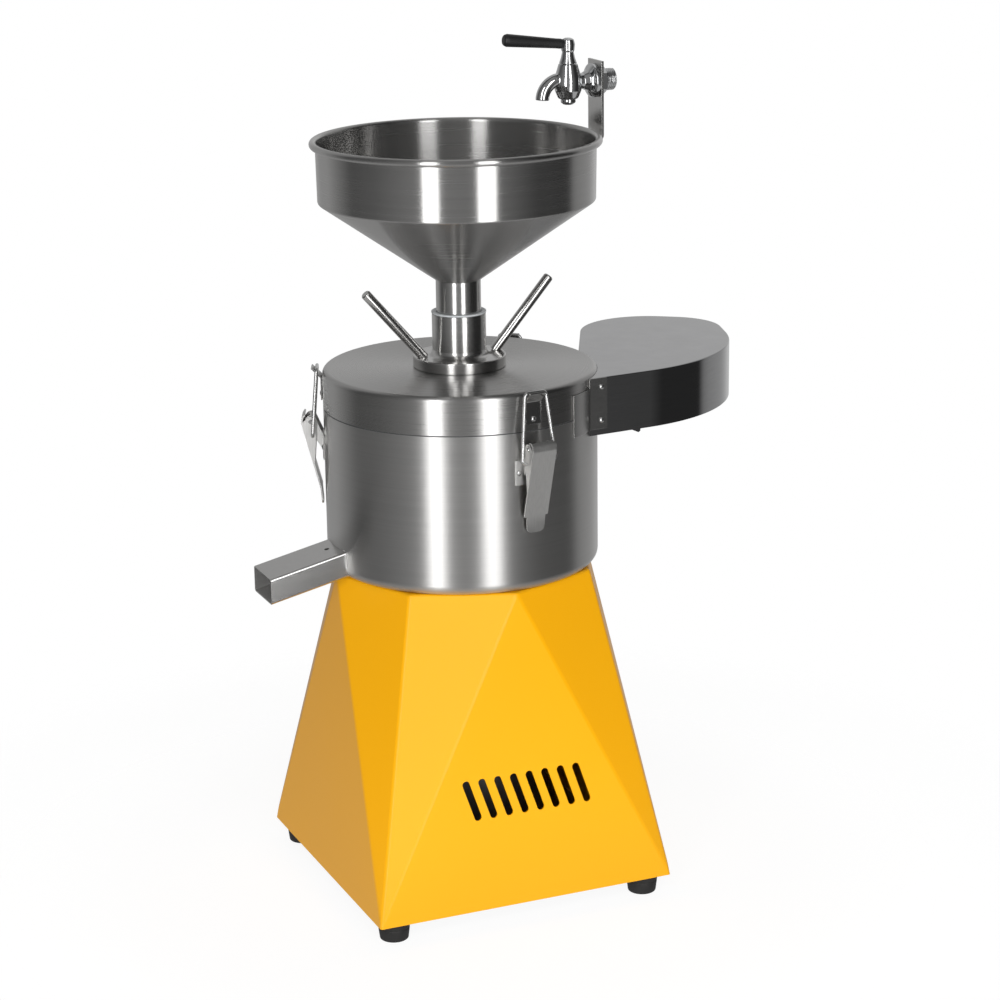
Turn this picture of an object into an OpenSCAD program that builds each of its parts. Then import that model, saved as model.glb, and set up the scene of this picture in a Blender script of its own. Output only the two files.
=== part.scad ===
// Upright soy milk maker: a yellow folded base with the motor, a stainless grinding drum with a lid held by
// three toggle latches, a milk outlet, a covered pulp chute, a stone adjuster with two rods, and a hopper
// that carries a water tap. Millimetres. +Z is up, the origin is on the floor under the drum's axis,
// and the vented face of the base looks along -Y.

/* [Base] */
// Side of the square bottom of the base
base_side = 300; // [285:1:330]
// Height of the base housing
base_h = 301; // [296:1:330]
// Corner radius of the octagon at the top of the base
base_top_r = 130; // [128:0.5:140]
// Sheet thickness of the base housing
base_sheet = 1.5; // [1:0.1:2]
// Thickness of the floor plate
floor_t = 2; // [1.5:0.1:3]

/* [Feet] */
// Height of a rubber foot
foot_h = 20; // [15:1:30]
// Diameter of a foot at the top
foot_top_d = 32; // [26:0.5:36]
// Diameter of a foot at the bottom
foot_bottom_d = 27; // [22:0.5:30]
// Distance of a foot's centre from the side of the base
foot_inset = 21; // [18:0.5:30]

/* [Vents] */
// Number of vent slots in one face
vent_count = 8; // [4:1:9]
// Distance between two vent slots
vent_pitch = 16; // [12:0.5:17]
// Width of a vent slot
vent_w = 7.3; // [4:0.1:8]
// Length of a vent slot
vent_len = 42; // [30:1:50]
// Lean of a vent slot
vent_slant = 18; // [0:0.5:20]
// Height of the row of slots up the face
vent_rise = 109; // [90:1:130]
// Sideways place of the row of slots
vent_shift = 2.5; // [-5:0.5:5]

/* [Drum] */
// Outer diameter of the drum and the lid
drum_d = 260; // [256:1:266]
// Height of the drum
drum_h = 152; // [146:1:165]
// Sheet thickness of the drum and the lid
drum_sheet = 1.5; // [1:0.1:2]
// Radius of the drum's lower edge
drum_edge_r = 10; // [6:1:14]
// Height of the tube round the shaft in the drum's floor
chimney_h = 41; // [36:1:46]
// Inner radius of that tube
chimney_r = 21; // [20:0.5:22]

/* [Lid] */
// Height of the lid
lid_h = 36; // [34:0.5:40]
// Radius of the lid's shoulder
lid_shoulder_r = 5; // [4:0.5:10]
// Thickness of the gasket under the lid
gasket_t = 1; // [0.6:0.1:2]

/* [Milk outlet] */
// Outer width of the outlet tube
outlet_w = 50; // [40:1:60]
// Outer height of the outlet tube
outlet_h = 24.5; // [20:0.5:28]
// Sheet thickness of the outlet tube
outlet_sheet = 1.2; // [0.8:0.1:2]
// Distance of the outlet's mouth from the drum's axis
outlet_reach = 203; // [180:1:230]
// Fall of the outlet
outlet_slope = 12.5; // [8:0.5:14]
// Diameter of the vent hole on top of the outlet
outlet_hole_d = 5; // [3:0.5:8]

/* [Pulp hood] */
// Height of the hood's wall
hood_h = 55; // [45:1:60]
// Distance from the lid's top down to the hood's top
hood_drop = 4; // [2:0.5:6]
// Sheet thickness of the hood
hood_sheet = 1.5; // [1:0.1:2]
// Radius of the hood's rolled front wall
hood_front_r = 165; // [155:1:170]
// Middle of that radius, out from the drum
hood_front_out = 12.5; // [8:0.5:20]
// Radius of the hood's far end
hood_far_r = 54; // [45:0.5:58]
// Middle of that radius, out from the drum
hood_far_out = 126.5; // [110:0.5:140]
// Radius of the hood's back corner
hood_back_r = 68; // [60:0.5:70]

/* [Latches] */
// Turn of the front, back and left latch about the drum's axis
latch_angles = [-82, 46, 158];
// Distance of a lever's pivot from the drum
latch_out = 12; // [11.5:0.5:14]
// Length of a lever below its pivot
lever_len = 66; // [56:1:72]
// Width of a lever
lever_w = 25; // [22:0.5:28]
// Lean of a closed lever
lever_lean = 14.3; // [12:0.1:15]
// Sheet thickness of the latches
latch_sheet = 1.5; // [1.2:0.1:1.8]
// Wire diameter of a bail
bail_wire_d = 3.2; // [2.6:0.1:3.4]
// Distance of a bail's pivot below the lever's pivot
bail_arm = 14; // [12:0.5:16]

/* [Grinder] */
// Diameter of the grinding stones
stone_d = 100; // [98:1:104]
// Thickness of a grinding stone
stone_t = 18; // [14:0.5:20]
// Gap between the two stones
stone_gap = 0.8; // [0.6:0.1:1.2]
// Diameter of the feed hole in the upper stone
feed_d = 38; // [34:1:42]
// Outer diameter of the adjuster's flange
nut_flange_d = 88; // [84:1:94]
// Thickness of the adjuster's flange
nut_flange_t = 10.7; // [9:0.1:13]
// Outer diameter of the adjuster's neck
neck_d = 51; // [50:0.5:54]
// Height of the neck above the flange
neck_h = 40; // [36:1:50]
// Diameter of the adjuster's thread
thread_d = 64; // [62:0.5:66]
// Diameter of an adjuster rod
rod_d = 9.5; // [8:0.5:11]
// Length of an adjuster rod
rod_len = 77; // [60:1:90]
// Rise of an adjuster rod
rod_rise = 49; // [42:1:55]

/* [Hopper] */
// Outer diameter of the hopper's wall
hopper_d = 260.6; // [240:0.2:270]
// Height of the hopper's straight wall
hopper_wall_h = 54; // [44:1:64]
// Height of the hopper's cone
hopper_cone_h = 75.5; // [65:0.5:85]
// Sheet thickness of the hopper
hopper_sheet = 1.2; // [1:0.1:1.6]
// Diameter of the rolled bead on the rim
bead_d = 6.8; // [5:0.2:8]
// Outer diameter of the spigot
spigot_d = 42.4; // [41:0.2:42.6]
// Length of the spigot that shows above the neck
spigot_show = 30; // [20:0.5:40]
// Length of the spigot in the neck
spigot_in = 35; // [28:0.5:36]

/* [Tap] */
// Width of the bracket strip
bracket_w = 30; // [26:0.5:36]
// Thickness of the bracket strip
bracket_t = 2.5; // [2:0.1:3.5]
// Height of the tap's inlet above the hopper's rim
tap_rise = 44; // [40:1:55]
// Diameter of the tap's threaded tail
tail_d = 20.9; // [18:0.1:22]
// Length of the tail beyond its lock nut
tail_free = 9; // [8:0.5:14]
// Distance from the bracket in to the tap's stem
tap_reach = 30; // [28:0.5:34]
// Distance from the stem out to the spout's mouth
spout_reach = 26.5; // [24:0.5:32]
// Length of the tap's grip
grip_len = 59; // [45:1:66]
// Diameter of the grip's free end
grip_d = 12; // [10:0.5:13]

/* [Motor] */
// Outer radius of the motor shell
shell_r = 76; // [74:1:80]
// Wall of the motor shell
shell_wall = 6; // [5:0.5:7]
// Height of the motor shell
shell_h = 134; // [125:1:140]
// Height of the stator's core
core_h = 75; // [60:1:80]
// Bore of the stator
stator_bore_r = 43; // [40:0.5:46]
// Bore diameter of a bearing
bearing_id = 25; // [24:0.5:26]
// Outer diameter of a bearing
bearing_od = 52; // [48:0.5:54]
// Width of a bearing
bearing_w = 15; // [13:0.5:16]
// Thickness of the plate that carries the motor
motor_plate_t = 6; // [5:0.5:8]
// Radius of the circle of drum bolts
bolt_circle_r = 86; // [85:0.5:92]
// Diameter of a drum bolt
bolt_d = 8; // [6:0.5:8]
// Diameter of the cooling fan
fan_d = 124; // [110:1:130]

/* [Switch and cable] */
// Width of the switch's bezel
bezel_w = 27; // [25:0.5:32]
// Height of the switch's bezel
bezel_h = 34; // [30:0.5:38]
// Height of the switch up the side of the base
switch_rise = 120; // [80:1:150]
// Diameter of the cable that the gland takes
cable_d = 8; // [6:0.5:10]
// Height of the gland up the back of the base
gland_rise = 45; // [35:1:60]
// Sideways place of the gland
gland_shift = -90; // [-100:1:-60]

/* [Hidden] */
$fn = 96;
// Clearances: turning and sliding fits, fixed joints, moving faces and cut-through margins
run_fit = 0.05;
seat_fit = 0.05;
gap = 0.3;
cut = 1;

steel = "#b9bbbe";
dark_steel = "#8d9094";
chrome = "#d5d8dc";
paint = "#f2b41c";
black = "#1b1b1c";
rubber = "#242424";
stone = "#8f8b84";
copper = "#b06a35";
cast = "#a3a6a8";
nylon = "#e9e8e2";

// Heights of the base and the drum
base_z = foot_h;
top_z = base_z + base_h;
half_side = base_side/2;
base_lean = atan((half_side - base_top_r)/base_h);
drum_r = drum_d/2;
drum_in_r = drum_r - drum_sheet;
drum_floor_z = top_z + drum_sheet;
rim_z = top_z + drum_h;
lid_z = rim_z + gasket_t;
lid_top_z = lid_z + lid_h;

// Motor, hung below the top of the base
plate_z = top_z - base_sheet - motor_plate_t;
plate_r = bolt_circle_r + 14;
bell_flange_t = 8;
upper_bell_h = 51.5;
lower_bell_h = 36;
shell_top_z = plate_z - upper_bell_h;
shell_z = shell_top_z - shell_h;
lower_bell_z = shell_z - lower_bell_h;
shell_in_r = shell_r - shell_wall;
core_z = shell_z + (shell_h - core_h)/2;
coil_h = 21;
bearing_lip = 15.5;
upper_bearing_z = plate_z - bearing_lip - bearing_w;
lower_bearing_z = lower_bell_z + 6;
journal_r = bearing_id/2 - run_fit;
shaft_mid_r = bearing_id/2 + 1.5;
hub_wall = 10;
fan_h = 18;
fan_hub_r = 20;
fan_top_z = lower_bell_z - 8;
fan_z = fan_top_z - fan_h;
cowl_sheet = 1.2;
cowl_z = fan_z - 12;
shaft_z = fan_z - 4;
bolt_r = bolt_d/2;
bolt_hole_r = bolt_r + 0.1;

// Grinder
neck_r = neck_d/2;
nut_z = lid_top_z + gap;
nut_flange_r = nut_flange_d/2;
nut_top_z = nut_z + nut_flange_t;
neck_top_z = nut_top_z + neck_h;
thread_r = thread_d/2;
sleeve_r = thread_r + 6;
sleeve_depth = 28;
sleeve_z = nut_z - sleeve_depth;
ring_groove = 3;
ring_t = 2.3;
ring_up = 4.7;
boss_r = sleeve_r + 12;
boss_h = 20.5;
carrier_flange_t = 8;
feed_r = feed_d/2;
carrier_bore_r = feed_r - 0.5;
stone_r = stone_d/2;
stone_drop = 60;
upper_stone_z = lid_top_z - stone_drop;
lower_stone_z = upper_stone_z - stone_gap - stone_t;
carrier_z = upper_stone_z + stone_t;
carrier_top_z = nut_z + 2;
thread_top_z = nut_top_z - 1;
guide_r = 3;
guide_circle_r = sleeve_r + 6;
hub_r = 28.5;
spindle_r = 10;
hub_web_z = top_z + chimney_h + 10.3;
basket_z = top_z + 71;
basket_sheet = 2;
basket_bottom_r = 52;
basket_top_r = drum_r - 30;
basket_top_z = rim_z - 3;
basket_rim_w = 12;
seat_r = 30;
stone_nut_h = 7.8;

// Hopper and tap
bead_r = bead_d/2;
spigot_r = spigot_d/2;
hopper_r = hopper_d/2;
hopper_taper = 0.8;
cone_z = neck_top_z + spigot_show + 1.5;
wall_z = cone_z + hopper_cone_h;
wall_top_z = wall_z + hopper_wall_h;
rim_top_z = wall_top_z + bead_r;
seal_t = 1.5;
tap_z = rim_top_z + tap_rise;
bracket_x = hopper_r + bead_d + bracket_t + 4.9;
stem_x = bracket_x - tap_reach;
tail_r = tail_d/2;
locknut_t = 5;
tail_relief = 2.5;
plug_r = 6;

// Latches
pivot_z = rim_z - 13;
pivot_r = 2;
roll_r = 9;
bail_r = bail_wire_d/2;
over_centre = 1.5;
bail_pivot = [latch_out - over_centre, pivot_z - bail_arm];
bail_bar = [latch_out - 7, lid_top_z + 0.5];
bail_foot_half = lever_w/2 + 5.5;
bail_top_half = 11;
bail_end_half = lever_w/2 - latch_sheet - 0.4;
ear_out = lever_w/2 - latch_sheet - 1;
keeper_half = 8.5;

// Pulp hood
hood_top_z = lid_top_z - hood_drop;
hood_z = hood_top_z - hood_h;
hood_front = [drum_r + hood_front_out, 78.5];
hood_far = [drum_r + hood_far_out, 73];
hood_back = [drum_r + 104, 72];
hood_mouth = [drum_r*[0.6154, -0.7177], [drum_r - 4, 6]];
hood_flange_w = 18;
hood_mouth_r = 0.1;
flange_sheet = 1.2;
hood_aim = hood_front - hood_mouth[0];
hood_wall_turn = atan2(hood_aim[1], hood_aim[0]) - asin((hood_front_r - hood_mouth_r)/norm(hood_aim));
hood_way = [cos(hood_wall_turn), sin(hood_wall_turn)];
hood_along = hood_mouth[0]*hood_way;
hood_leave = sqrt(pow(hood_along, 2) - pow(norm(hood_mouth[0]), 2) + pow(drum_r + gap, 2)) - hood_along;
hood_wall_start = hood_leave + 0.7;
hood_leave_spot = hood_mouth[0] + hood_leave*hood_way;

// Points of an arc, from one angle to another
function arc(c, r, a0, a1, n = 8) = [for (i = [0:n]) c + r*[cos(a0 + (a1 - a0)*i/n), sin(a0 + (a1 - a0)*i/n)]];

// A flat ring of given radii between two heights
module ring(r_in, r_out, z0, z1) {
    translate([0, 0, z0]) difference() {
        cylinder(r = r_out, h = z1 - z0);
        translate([0, 0, -cut]) cylinder(r = r_in, h = z1 - z0 + 2*cut);
    }
}

// A solid turned about Z from a half profile of radius and height
module turned(points) {
    rotate_extrude($fn = 128) polygon(points);
}

// A round bar between two points
module bar(p, q, r) {
    v = q - p;
    len = norm(v);
    translate(p) rotate([0, acos(v[2]/len), atan2(v[1], v[0])]) cylinder(r = r, h = len, $fn = 32);
}

// A profile of depth and height, given a thickness across from y0
module across(y0, t) {
    translate([0, y0 + t, 0]) rotate([90, 0, 0]) linear_extrude(t) children();
}

// The faceted form of the base: a square below, an octagon above, triangles between
module base_form(half, r_top, z0, z1) {
    low = [for (k = [0:3]) [half*sqrt(2)*cos(45 + 90*k), half*sqrt(2)*sin(45 + 90*k), z0]];
    high = [for (i = [0:7]) [r_top*cos(45*i), r_top*sin(45*i), z1]];
    sides = [for (k = [0:3]) [k, 4 + (2*k + 2)%8, (k + 1)%4]];
    corners_a = [for (k = [0:3]) [k, 4 + 2*k, 5 + 2*k]];
    corners_b = [for (k = [0:3]) [k, 5 + 2*k, 4 + (2*k + 2)%8]];
    top = [[for (i = [7:-1:0]) 4 + i]];
    polyhedron(concat(low, high), concat([[0, 1, 2, 3]], sides, corners_a, corners_b, top));
}

// A place on one face of the base: x along the face, y up the slope, z outwards
module on_face(turn) {
    rotate([0, 0, turn]) translate([0, -half_side, base_z]) rotate([90 - base_lean, 0, 0]) children();
}

module vent_row() {
    first = vent_shift - (vent_count - 1)*vent_pitch/2;
    straight = vent_len - vent_w;
    deep = base_sheet + 2*cut;
    for (i = [0:vent_count - 1])
        translate([first + i*vent_pitch, vent_rise, -deep]) rotate([0, 0, vent_slant]) {
            translate([-vent_w/2, -straight/2, 0]) cube([vent_w, straight, 2*deep]);
            for (s = [-1, 1]) translate([0, s*straight/2, 0]) cylinder(d = vent_w, h = 2*deep, $fn = 32);
        }
}

module bolt_places() {
    for (k = [0:3]) rotate([0, 0, 22.5 + 90*k]) translate([bolt_circle_r, 0, 0]) children();
}

module foot_places() {
    place = half_side - foot_inset;
    for (x = [-place, place]) for (y = [-place, place]) translate([x, y, 0]) children();
}

// Base: housing, floor plate and feet
shaft_hole_r = 62;
switch_cut = [bezel_w - 5, bezel_h - 6];
gland_r = cable_d/2 + 5.9;

// The sheet skin of the base with its cutouts
module base_skin() {
    difference() {
        base_form(half_side, base_top_r, base_z, top_z);
        base_form(half_side - base_sheet, base_top_r - 1.1*base_sheet, base_z - 0.01, top_z + 0.01);
        translate([-half_side, -half_side, top_z - base_sheet]) cube([base_side, base_side, 2*base_sheet]);
        for (turn = [0, 180]) on_face(turn) vent_row();
        on_face(90) translate([-switch_cut[0]/2, switch_rise - switch_cut[1]/2, -5])
            cube([switch_cut[0], switch_cut[1], 10]);
        on_face(180) translate([gland_shift, gland_rise, -5]) cylinder(r = gland_r + 0.1, h = 10);
    }
}

// Everything between the middle of the base and one of its four flat sides
module side_wedge(turn, scale_in) {
    heart = [0, 0, base_z + base_h/2];
    apex = [0, -base_top_r, top_z];
    low = [for (x = [-half_side, half_side]) apex + 1.1*([x, -half_side, base_z] - apex)];
    face = [low[0], low[1], apex];
    centre = (face[0] + face[1] + face[2])/3;
    wide = [for (v = face) heart + 1.3*(centre + scale_in*(v - centre) - heart)];
    rotate([0, 0, turn]) polyhedron(concat([heart], wide), [[0, 1, 2], [0, 2, 3], [0, 3, 1], [1, 3, 2]]);
}

// Four flat sides and four corners, each folded once, welded edge to edge
module base_housing() {
    seam = 0.0007;
    tip = 1.5*base_sheet;
    color(paint) {
        difference() {
            base_skin();
            for (turn = [0:90:270]) side_wedge(turn, 1);
            for (turn = [0:90:270]) rotate([0, 0, turn]) translate([-tip/2, -half_side, top_z - 4*base_sheet])
                cube([tip, half_side/3, 4*base_sheet]);
        }
        for (turn = [0:90:270]) intersection() {
            base_skin();
            side_wedge(turn, 1 - seam);
            rotate([0, 0, turn]) translate([0, -0.1, 0]) linear_extrude(top_z)
                polygon(base_side*[[0, 0], [-1, -1], [1, -1]]);
        }
    }
}

// The plate that closes the housing at the top and carries the drum
module base_top() {
    low = top_z - base_sheet;
    color(paint) difference() {
        translate([0, 0, low]) cylinder(r = base_top_r, h = base_sheet, $fn = 8);
        translate([0, 0, low - cut]) cylinder(r = shaft_hole_r, h = base_sheet + 2*cut);
        bolt_places() translate([0, 0, low - cut]) cylinder(r = bolt_hole_r, h = base_sheet + 2*cut);
    }
}

foot_screw_r = 2.5;
foot_head_r = 4.8;
foot_head_t = 3;
foot_recess = 11;

module floor_plate() {
    half = half_side - base_sheet - floor_t*tan(base_lean) - gap;
    color(dark_steel) difference() {
        translate([-half, -half, base_z]) cube([2*half, 2*half, floor_t]);
        foot_places() translate([0, 0, base_z - cut]) cylinder(r = foot_screw_r + 0.1, h = floor_t + 2*cut);
    }
}

module feet() {
    color(rubber) foot_places() difference() {
        cylinder(d1 = foot_bottom_d, d2 = foot_top_d, h = foot_h);
        translate([0, 0, -cut]) cylinder(r = foot_head_r + 0.4, h = foot_recess + cut);
        cylinder(r = foot_screw_r + 0.1, h = foot_h + cut);
    }
}

module foot_screws() {
    color(steel) foot_places() {
        translate([0, 0, foot_recess - foot_head_t]) cylinder(r = foot_head_r, h = foot_head_t);
        translate([0, 0, foot_recess - 0.5]) cylinder(r = foot_screw_r, h = foot_h + floor_t + 5 - foot_recess);
        translate([0, 0, base_z + floor_t]) cylinder(r = 5, h = 4, $fn = 6);
    }
}

// Motor, from its carrying plate down to the fan cowl
module motor_plate() {
    color(dark_steel) difference() {
        ring(40, plate_r, plate_z, plate_z + motor_plate_t);
        bolt_places() translate([0, 0, plate_z - cut]) cylinder(r = bolt_hole_r, h = motor_plate_t + 2*cut);
    }
}

module drum_bolts() {
    head_t = 5;
    stack = drum_floor_z - plate_z + bell_flange_t;
    color(steel) bolt_places() {
        translate([0, 0, drum_floor_z]) cylinder(r = bolt_r + 2.8, h = head_t, $fn = 6);
        translate([0, 0, drum_floor_z - stack - 9]) cylinder(r = bolt_r, h = stack + 9.5);
        translate([0, 0, drum_floor_z - stack - 6.5]) cylinder(r = bolt_r + 3, h = 6.5, $fn = 6);
    }
}

module upper_end_bell() {
    hub_out = bearing_od/2 + hub_wall;
    web_z = plate_z - 13.5;
    color(cast) difference() {
        turned([[shaft_mid_r + 2, plate_z], [plate_r - 1, plate_z], [plate_r - 1, plate_z - bell_flange_t],
            [shell_r, plate_z - bell_flange_t], [shell_r, shell_top_z], [shell_in_r, shell_top_z],
            [shell_in_r, web_z], [hub_out, web_z], [hub_out, upper_bearing_z - 2],
            [bearing_od/2 + seat_fit, upper_bearing_z - 2],
            [bearing_od/2 + seat_fit, upper_bearing_z + bearing_w],
            [shaft_mid_r + 2, upper_bearing_z + bearing_w]]);
        bolt_places() translate([0, 0, plate_z - bell_flange_t - cut])
            cylinder(r = bolt_hole_r, h = bell_flange_t + 2*cut);
    }
}

module motor_shell() {
    color(cast) ring(shell_in_r, shell_r, shell_z, shell_top_z);
}

module stator_core() {
    color(dark_steel) ring(stator_bore_r, shell_in_r - seat_fit, core_z, core_z + core_h);
}

module stator_windings() {
    color(copper) for (z = [core_z - coil_h, core_z + core_h])
        ring(stator_bore_r + 3, shell_in_r - 4, z, z + coil_h);
}

module lower_end_bell() {
    hub_out = bearing_od/2 + hub_wall;
    pocket_top = lower_bearing_z + bearing_w + 1;
    color(cast) turned([[shaft_mid_r + 2, lower_bell_z], [shell_r - 16, lower_bell_z],
        [shell_r, lower_bell_z + 16], [shell_r, shell_z], [shell_in_r, shell_z],
        [shell_in_r, shell_z - 16], [hub_out, pocket_top - 10], [hub_out, pocket_top],
        [bearing_od/2 + seat_fit, pocket_top], [bearing_od/2 + seat_fit, lower_bearing_z],
        [shaft_mid_r + 2, lower_bearing_z]]);
}

module bearings() {
    color(steel) for (z = [lower_bearing_z, upper_bearing_z]) difference() {
        ring(bearing_id/2, bearing_od/2, z, z + bearing_w);
        for (face = [z, z + bearing_w - 0.8]) ring(bearing_id/2 + 4, bearing_od/2 - 4, face - 0.01, face + 0.81);
    }
}

module fan_cowl() {
    r_in = shell_r + seat_fit;
    r_out = r_in + cowl_sheet;
    overlap_z = shell_z - 8;
    color(dark_steel) {
        ring(r_in, r_out, cowl_z, overlap_z);
        ring(fan_d/2 - fan_hub_r, r_out, cowl_z - cowl_sheet, cowl_z);
    }
}

module capacitor() {
    can_r = 22;
    can_h = 78;
    color(nylon) translate([50 - half_side, half_side - 52, base_z + floor_t]) {
        cylinder(r = can_r, h = can_h);
        translate([0, 0, can_h]) cylinder(r1 = can_r, r2 = can_r - 3, h = 3);
        for (x = [-7, 7]) translate([x - 0.4, -3, can_h + 2]) cube([0.8, 6, 10]);
    }
}

module terminal_block() {
    ways = 4;
    pitch = 14;
    color(nylon) translate([half_side - 80, half_side - 52, base_z + floor_t]) difference() {
        cube([ways*pitch, 24, 18]);
        for (i = [0:ways - 1]) translate([(i + 0.5)*pitch, 12, 8]) cylinder(r = 4, h = 11);
    }
}

// Rocker switch, snapped into the right face of the base
rocker_half = bezel_h/2 - 7;
rocker_w = bezel_w - 11;
rocker_tilt = 10;
rocker_pin_r = 1.5;
rocker_z = 0.5;
switch_depth = 24;

module switch_body() {
    open = [rocker_w + 1.2, 2*rocker_half + 3];
    color(black) on_face(90) translate([0, switch_rise, 0]) difference() {
        union() {
            translate([-bezel_w/2, -bezel_h/2, 0]) cube([bezel_w, bezel_h, 3]);
            translate([-switch_cut[0]/2 + gap, -switch_cut[1]/2 + gap, -switch_depth])
                cube([switch_cut[0] - 2*gap, switch_cut[1] - 2*gap, switch_depth + 1]);
        }
        translate([-open[0]/2, -open[1]/2, -8]) cube([open[0], open[1], 12]);
        translate([-rocker_w/2 - 2, 0, rocker_z]) rotate([0, 90, 0])
            cylinder(r = rocker_pin_r + run_fit, h = rocker_w + 4, $fn = 32);
    }
}

module switch_rocker() {
    profile = [[-rocker_half, -1.5], [rocker_half, -1.5], [rocker_half, 4.5], [0, 2.8], [-rocker_half, 4.5]];
    color(black) on_face(90) translate([0, switch_rise, rocker_z]) rotate([-rocker_tilt, 0, 0]) {
        translate([-rocker_w/2, 0, 0]) rotate([90, 0, 90]) linear_extrude(rocker_w) polygon(profile);
        translate([-rocker_w/2 - 1.6, 0, 0]) rotate([0, 90, 0])
            cylinder(r = rocker_pin_r, h = rocker_w + 3.2, $fn = 32);
    }
}

module cable_gland() {
    hex_r = gland_r + 3;
    color(black) on_face(180) translate([gland_shift, gland_rise, 0]) difference() {
        union() {
            cylinder(r = hex_r, h = 6, $fn = 6);
            translate([0, 0, 5]) cylinder(r = gland_r + 1.2, h = 8);
            translate([0, 0, 13]) cylinder(r1 = gland_r + 1.2, r2 = gland_r - 2.4, h = 6);
            translate([0, 0, -14]) cylinder(r = gland_r, h = 15);
            translate([0, 0, -base_sheet - 6.1]) cylinder(r = hex_r, h = 6, $fn = 6);
        }
        translate([0, 0, -15]) cylinder(d = cable_d + 0.4, h = 36);
    }
}

// Drum: bowl, shaft seal, splash ring and milk outlet
outlet_root_z = top_z + 2.2;

// The outlet's own frame: its foot on the drum's wall, x out and down along the tube
module on_outlet() {
    translate([-drum_in_r, 0, outlet_root_z]) rotate([0, outlet_slope, 180]) children();
}

// How far the outlet reaches back through the drum's rounded corner
outlet_root = 10;

// Outline of the drum's inside, from its wall down to its floor
drum_inside = arc([drum_r - drum_edge_r, top_z + drum_edge_r], drum_edge_r - drum_sheet, 0, -90);

module drum_bowl() {
    chimney_out = chimney_r + 3;
    outer = concat([[chimney_r, top_z]], arc([drum_r - drum_edge_r, top_z + drum_edge_r], drum_edge_r, -90, 0));
    color(steel) difference() {
        turned(concat(outer, [[drum_r, rim_z], [drum_in_r, rim_z]], drum_inside,
            [[chimney_out, drum_floor_z], [chimney_out, top_z + chimney_h], [chimney_r, top_z + chimney_h]]));
        bolt_places() translate([0, 0, top_z - cut]) cylinder(r = bolt_hole_r, h = drum_sheet + 2*cut);
        on_outlet() translate([-outlet_root - 1, -outlet_w/2 - 0.1, -0.1])
            cube([outlet_root + 17, outlet_w + 0.2, outlet_h + 0.2]);
    }
}

module shaft_seal() {
    color(rubber) ring(journal_r + run_fit, chimney_r - seat_fit, drum_floor_z, drum_floor_z + 8);
}

module splash_ring() {
    z = rim_z - 12;
    inner_r = basket_top_r + 4;
    color(steel) turned([[inner_r, z], [drum_in_r - 0.1, z], [drum_in_r - 0.1, z + 2], [inner_r + 2, z + 2],
        [inner_r + 2, z + 3.5], [inner_r, z + 3.5]]);
}

module milk_outlet() {
    inner_w = outlet_w - 2*outlet_sheet;
    inner_h = outlet_h - 2*outlet_sheet;
    len = (outlet_reach - drum_in_r)/cos(outlet_slope);
    color(steel) difference() {
        on_outlet() translate([-outlet_root, -outlet_w/2, 0]) cube([outlet_root + len + 10, outlet_w, outlet_h]);
        on_outlet() translate([-outlet_root - 2, -inner_w/2, outlet_sheet])
            cube([outlet_root + len + 20, inner_w, inner_h]);
        turned(concat([[0, rim_z], [drum_in_r, rim_z]], drum_inside, [[0, drum_floor_z]]));
        translate([-outlet_reach - 40, -outlet_w, 0]) cube([40, 2*outlet_w, 2*top_z]);
        on_outlet() translate([5, 0, outlet_h/2]) cylinder(d = outlet_hole_d, h = outlet_h);
    }
}

// Lid: gasket, lid with its boss, guide pins, keepers and pulp hood
module lid_gasket() {
    color(rubber) ring(drum_in_r - 2, drum_r - 0.2, rim_z, lid_z);
}

// Outline of the lid, as radius and height, grown by a clearance
function lid_outline(grow, low) = concat([[0, low], [drum_r + grow, low]],
    arc([drum_r - lid_shoulder_r, lid_top_z - lid_shoulder_r], lid_shoulder_r + grow, 0, 90),
    [[0, lid_top_z + grow]]);

// Plan of the pulp hood
module hood_plan() {
    hull() {
        for (p = hood_mouth) translate(p) circle(r = hood_mouth_r, $fn = 16);
        polygon([for (a = [hood_wall_turn - 90:3:0]) hood_front + hood_front_r*[cos(a), sin(a)]]);
        translate(hood_far) circle(r = hood_far_r);
        translate(hood_back) circle(r = hood_back_r);
    }
}

module lid() {
    core = lid_shoulder_r - drum_sheet;
    c = [drum_r - lid_shoulder_r, lid_top_z - lid_shoulder_r];
    boss_z = lid_top_z - boss_h;
    hole_r = sleeve_r + run_fit;
    color(steel) difference() {
        turned(concat([[drum_in_r - 2, lid_z], [drum_r, lid_z]], arc(c, lid_shoulder_r, 0, 90),
            [[hole_r, lid_top_z], [hole_r, boss_z], [boss_r, boss_z], [boss_r, lid_top_z - drum_sheet]],
            arc(c, core, 90, 0), [[drum_in_r, lid_z + 2], [drum_in_r - 2, lid_z + 2]]));
        translate([0, 0, lid_z + 5]) linear_extrude(hood_top_z - hood_sheet - lid_z - 6) intersection() {
            offset(delta = -hood_sheet - 1) hood_plan();
            translate([drum_r/2, -drum_r]) square([drum_r/2 + 20, 2*drum_r]);
        }
        for (a = [0, 180]) rotate([0, 0, a]) translate([0, guide_circle_r, boss_z - cut])
            cylinder(r = guide_r + seat_fit, h = 12 + cut, $fn = 48);
    }
}

module guide_pins() {
    low = carrier_z + 2.5;
    color(steel) for (a = [0, 180]) rotate([0, 0, a]) translate([0, guide_circle_r, low])
        cylinder(r = guide_r, h = lid_top_z - boss_h + 11.8 - low, $fn = 48);
}

module at_latch(i) {
    rotate([0, 0, latch_angles[i]]) translate([drum_r, 0, 0]) children();
}

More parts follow.
